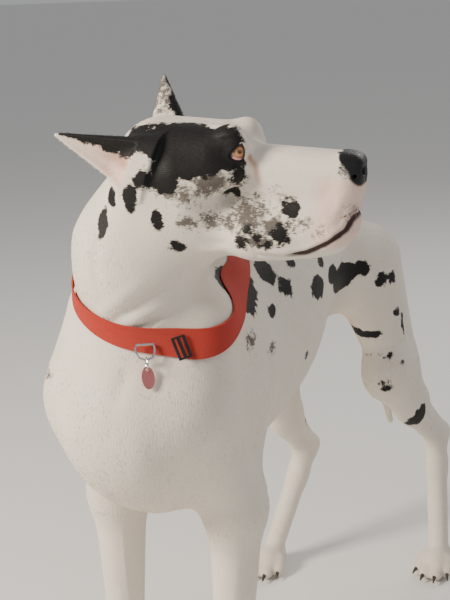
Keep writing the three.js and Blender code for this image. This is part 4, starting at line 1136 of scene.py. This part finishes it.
# one loop of the webbing's section: up its inner face, down its outer one
rows = [mid + ways * (reach + COLLAR_EASE + 0.1)[:, None] for mid, reach in section]
outer = COLLAR_EASE + WEBBING_THICKNESS
rows += [mid + ways * (reach + outer)[:, None] for mid, reach in reversed(section)]
row_height = np.concatenate((heights, heights[::-1]))
row_face = np.repeat((0, 1), len(heights))
rows = np.array(rows)
girth = rows[len(heights) + 2]
length = np.linalg.norm(np.diff(np.concatenate((girth, girth[:1])), axis=0), axis=1)
run = np.concatenate(([0], np.cumsum(length)))[:around]
count = len(rows)
faces = []
for i in range(count):
    a, b = i * around, ((i + 1) % count) * around
    for j in range(around):
        k = (j + 1) % around
        faces.append((a + j, a + k, b + k, b + j))
band = listed_piece("collar_band", rows.reshape(-1, 3), faces)
mesh = band.data
mesh.polygons.foreach_set("use_smooth", np.zeros(len(faces), bool))
weave_at = np.stack((np.tile(run, count), np.repeat(row_height, around), np.repeat(row_face, around)), 1)
note(mesh, "weave", weave_at, "FLOAT_VECTOR")
mat, tree, bsdf = new_material("red_webbing")
weave = fact(tree, "weave", "Vector")
ribs = texture(tree, "Wave", weave, Scale=0.42, Distortion=0.6)
ribs.bands_direction = "X"
cross = texture(tree, "Wave", weave, Scale=0.30, Distortion=0.4)
cross.bands_direction = "Y"
fuzz = texture(tree, "Noise", weave, Scale=0.9, Detail=5)
both = tree.nodes.new("ShaderNodeMath")
both.operation = "MULTIPLY_ADD"
both.inputs[1].default_value = 0.45
tree.links.new(cross.outputs["Fac"], both.inputs[0])
tree.links.new(ribs.outputs["Fac"], both.inputs[2])
dye = mixed(tree, fuzz.outputs[0], (0.40, 0.020, 0.012), (0.74, 0.062, 0.030))
# painted shade: the red is darker in the low grooves between the ribs, where the weave's bump is lowest
groove_shaded_weave = mixed(tree, both.outputs[0], (0.34, 0.016, 0.010), dye)
tree.links.new(groove_shaded_weave, bsdf.inputs["Base Color"])
bumped(tree, bsdf, both.outputs[0], 0.6, 0.0007)
bsdf.inputs["Roughness"].default_value = 0.72
mesh.materials.append(mat)
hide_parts("collar_webbing")
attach(band, "root")

# The steel rings, the rose tag and the black slider keep their built shapes, with rounded
# edges and the finish of bent wire, a stamped blank and moulded plastic.
wire = plain("polished_steel", (0.62, 0.62, 0.63), 0.24, metallic=1.0)
rose = plain("rose_tag", (0.50, 0.17, 0.16), 0.34, metallic=0.75)
black_plastic = plain("black_plastic", (0.012, 0.012, 0.013), 0.42)
for node, mat, width in (
    ("collar_d_ring", wire, 0.0005),
    ("split_ring", wire, 0.0003),
    ("name_tag", rose, 0.0003),
    ("collar_slider", black_plastic, 0.0006),
):
    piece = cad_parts[node]
    piece.data.materials.clear()
    piece.data.materials.append(mat)
    bevel = piece.modifiers.new("soft_edges", "BEVEL")
    bevel.width = width
    bevel.segments = 2
    bevel.limit_method = "ANGLE"
    bevel.angle_limit = math.radians(40)

# The floor is plain, pale and flat, and the light is soft: a large key high at the camera's
# left, a wide fill from the right and a rim from behind.
floor_mesh = bpy.data.meshes.new("floor")
floor_mesh.from_pydata([(-60, -60, 0), (60, -60, 0), (60, 60, 0), (-60, 60, 0)], [], [(0, 1, 2, 3)])
floor = linked("floor", floor_mesh)
floor_mesh.materials.append(plain("pale_floor", (0.80, 0.79, 0.77), 0.9))
world = bpy.data.worlds.new("soft_room")
bpy.context.scene.world = world
world.use_nodes = True
world.node_tree.nodes["Background"].inputs[0].default_value = (0.90, 0.91, 0.93, 1)
world.node_tree.nodes["Background"].inputs[1].default_value = 0.42
LIGHTS = (
    ("key", (-1.7, -2.4, 2.3), (0.0, -0.3, 0.8), 1.0, 170, (1.0, 0.91, 0.78)),
    ("fill", (2.8, -1.6, 1.6), (0.0, 0.0, 0.7), 2.4, 12, (0.90, 0.95, 1.0)),
    ("rim", (0.6, 2.8, 2.6), (0.0, 0.0, 0.7), 1.8, 40, (1.0, 0.96, 0.90)),
)
for name, at, aim, size, power, colour in LIGHTS:
    lamp = bpy.data.lights.new(name, "AREA")
    lamp.shape = "SQUARE"
    lamp.size = size
    lamp.energy = power
    lamp.color = colour
    holder = linked(name, lamp)
    holder.location = at
    holder.rotation_mode = "QUATERNION"
    holder.rotation_quaternion = (Vector(aim) - Vector(at)).to_track_quat("-Z", "Y")

# The camera stands before the dog's left shoulder, above its head, and looks down at it.
TURN, TILT, ROLL = math.radians(28), math.radians(16), math.radians(2.6)
right_way = np.array((math.cos(TURN), math.sin(TURN), 0))
level = np.array((-math.sin(TURN), math.cos(TURN), 0))
forward = level * math.cos(TILT) - np.array((0, 0, math.sin(TILT)))
upward = level * math.sin(TILT) + np.array((0, 0, math.cos(TILT)))
x_axis = math.cos(ROLL) * right_way - math.sin(ROLL) * upward
y_axis = math.sin(ROLL) * right_way + math.cos(ROLL) * upward
camera_data = bpy.data.cameras.new("camera")
camera_data.sensor_fit = "AUTO"
camera_data.sensor_width = 24
camera_data.lens = 45.2
camera = linked("camera", camera_data)
at = placed((798, -1297, 1220))
camera.matrix_world = Matrix(
    [[x_axis[i], y_axis[i], -forward[i], at[i]] for i in range(3)] + [[0, 0, 0, 1]]
)
bpy.context.scene.camera = camera
